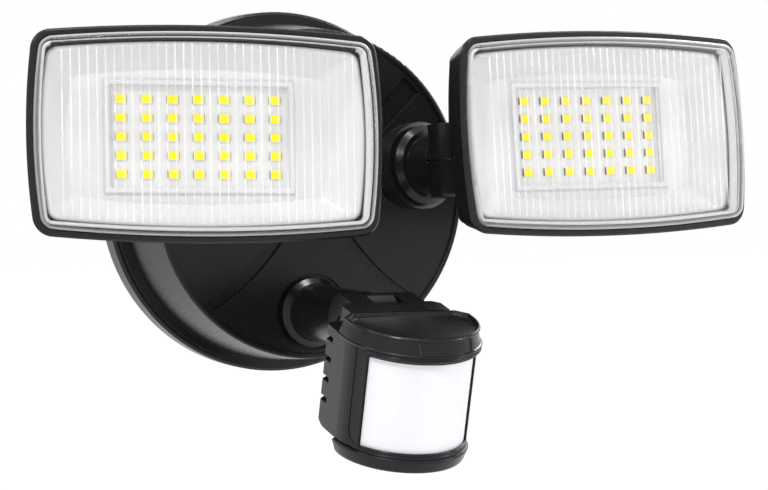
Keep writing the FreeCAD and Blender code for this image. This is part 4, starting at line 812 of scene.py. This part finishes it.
KNOB_SPACING, KNOB_RADIUS, KNOB_GAP, KNOB_Z = 11.0, 3.6, 0.3, 31.6
WELL_LEVELS = (-37.0, -34.7)
well_points, well_faces = [], []
for knob in (-1, 0, 1):
    walls = [[(knob * KNOB_SPACING + x, height, KNOB_Z + z)
              for x, z, height in circle(KNOB_RADIUS + KNOB_GAP, level, 40)] for level in WELL_LEVELS]
    well_faces += ring_shell(walls, len(well_points))
    well_points += [point for wall in walls for point in wall]
wells = new_piece("knob_wells", "sensor", moulded, sensor_axes, well_points, well_faces)
cut = cup.modifiers.new("wells", "BOOLEAN")
cut.object = wells
cut.operation = "DIFFERENCE"
bpy.context.view_layer.objects.active = cup
bpy.ops.object.modifier_apply(modifier=cut.name)
bpy.data.objects.remove(wells)

LEDGE_SECTION = ((22.6, -31.0), (22.6, -30.55), (22.3, -30.3), (22.15, -29.9), (22.1, -29.3),
                 (21.95, -29.1), (21.7, -29.1), (21.7, -31.0))
arc_strip("sensor_cup_ledge", CUP_CENTRE, LEDGE_SECTION, reach=60.5)

# ---------------------------------------------------------------------------------------------
# Behind the lens: the glass-fibre board under its smooth green mask, the detector's metal can and
# the glossy amber day and night cell, soldered to the board.

solder_green = grained_finish("green_solder_mask", "#14532c", "#1a5f34", roughness=0.35, grain_mm=0.4,
                              depth_mm=0.006)
finish_nodes(solder_green, "board_green", "sensor_board")
finish_nodes(zinc, "zinc_steel", "infrared_detector")
amber = grained_finish("amber_cell", "#c9761c", "#d6882c", roughness=0.25, grain_mm=0.3, depth_mm=0.006)
finish_nodes(amber, "cell_amber", "photocell")

# ---------------------------------------------------------------------------------------------
# Controls: three slotted knobs in wells under the cup, moulded in dark grey plastic with a fine
# grain, a shade paler than the shell.

knob_plastic = grained_finish("dark_grey_plastic", "#2b2b2e", "#343438", roughness=0.45, grain_mm=0.4,
                              depth_mm=0.01, edge_mm=0.2, shader={"Specular IOR Level": 0.35})
finish_nodes(knob_plastic, "knob_grey", "time_knob", "light_knob", "range_knob")

# ---------------------------------------------------------------------------------------------
# Studio: a white room and a pale floor that keeps the shadow.  Both look white to the camera and
# in mirroring or clear surfaces, and light the object less.  Five soft boxes light it.

world = bpy.data.worlds.new("white_room")
bpy.context.scene.world = world
world.use_nodes = True
world.node_tree.nodes.clear()


def seen_or_mirrored(tree_owner):
    """A node that gives 1 on the rays by which the background is seen, direct or mirrored."""
    rays = add_node(tree_owner, "ShaderNodeLightPath")
    seen = add_node(tree_owner, "ShaderNodeMath", {"operation": "MAXIMUM"}, links={
        0: (rays, "Is Camera Ray"), 1: (rays, "Is Transmission Ray")})
    return add_node(tree_owner, "ShaderNodeMath", {"operation": "MAXIMUM"}, links={
        0: (seen, "Value"), 1: (rays, "Is Glossy Ray")})


strength = add_node(world, "ShaderNodeMapRange", inputs={"To Min": 0.45, "To Max": 1.0},
                    links={"Value": (seen_or_mirrored(world), "Value")})
sky = add_node(world, "ShaderNodeBackground", inputs={"Color": (1, 1, 1, 1)},
               links={"Strength": (strength, "Result")})
add_node(world, "ShaderNodeOutputWorld", links={"Surface": (sky, "Background")})


def soft_box(name, place, size, watts):
    """A square studio lamp aimed at the middle of the light, in metres."""
    lamp = bpy.data.lights.new(name, "AREA")
    lamp.shape = "SQUARE"
    lamp.size = size
    lamp.energy = watts
    holder = bpy.data.objects.new(name, lamp)
    bpy.context.scene.collection.objects.link(holder)
    holder.location = place
    holder.rotation_mode = "QUATERNION"
    holder.rotation_quaternion = ((cad_low + cad_high) / 2 - Vector(place)).to_track_quat("-Z", "Y")


soft_box("key_box", (-0.9, -1.1, 1.0), size=0.28, watts=11)
soft_box("side_box", (1.2, -0.7, 0.3), size=0.3, watts=6)
soft_box("top_box", (0.0, -0.3, 1.3), size=0.3, watts=9)
soft_box("left_rim_box", (-1.2, -0.1, 1.1), size=0.3, watts=7)
soft_box("right_rim_box", (1.1, 0.7, 0.9), size=0.5, watts=8)

FLOOR_SIZE, FLOOR_DROP, FLOOR_GLOW, GLOW_SHARE = 8, 0.16, 1.03, 0.96
bpy.ops.mesh.primitive_plane_add(size=FLOOR_SIZE, location=(0, 0, cad_low.z - FLOOR_DROP))
floor = bpy.context.object
floor.name = "studio_floor"
pale = new_material("pale_floor")
matt = add_node(pale, "ShaderNodeBsdfDiffuse", inputs={"Color": srgb("#f4f4f4")})
glow = add_node(pale, "ShaderNodeEmission", inputs={"Color": (1, 1, 1, 1), "Strength": FLOOR_GLOW})
share = add_node(pale, "ShaderNodeMath", {"operation": "MULTIPLY"}, {1: GLOW_SHARE},
                 {0: (seen_or_mirrored(pale), "Value")})
mixed = add_node(pale, "ShaderNodeMixShader", links={
    "Fac": (share, "Value"), 1: (matt, "BSDF"), 2: (glow, "Emission")})
add_node(pale, "ShaderNodeOutputMaterial", links={"Surface": (mixed, "Shader")})
floor.data.materials.append(pale)

# The camera stands where the photograph's did: 24.6 degrees to the left, 2.5 degrees above.
AZIMUTH, ELEVATION = math.radians(-24.586), math.radians(2.537)
DISTANCE, SLIDE, LIFT = 1.06463, 0.042546, -0.019642
FOCAL_PIXELS, FRAME_WIDTH, SENSOR = 2915.5, 768, 36.0
back = Vector((math.sin(AZIMUTH) * math.cos(ELEVATION), -math.cos(AZIMUTH) * math.cos(ELEVATION),
               math.sin(ELEVATION)))
right = Vector((math.cos(AZIMUTH), math.sin(AZIMUTH), 0))
camera = bpy.data.objects.new("camera", bpy.data.cameras.new("camera"))
bpy.context.scene.collection.objects.link(camera)
camera.location = back * DISTANCE + right * SLIDE + back.cross(right) * LIFT
camera.rotation_mode = "QUATERNION"
camera.rotation_quaternion = (-back).to_track_quat("-Z", "Y")
camera.data.sensor_width = SENSOR
camera.data.lens = FOCAL_PIXELS * SENSOR / FRAME_WIDTH
bpy.context.scene.camera = camera
bpy.context.scene.view_settings.view_transform = "Standard"
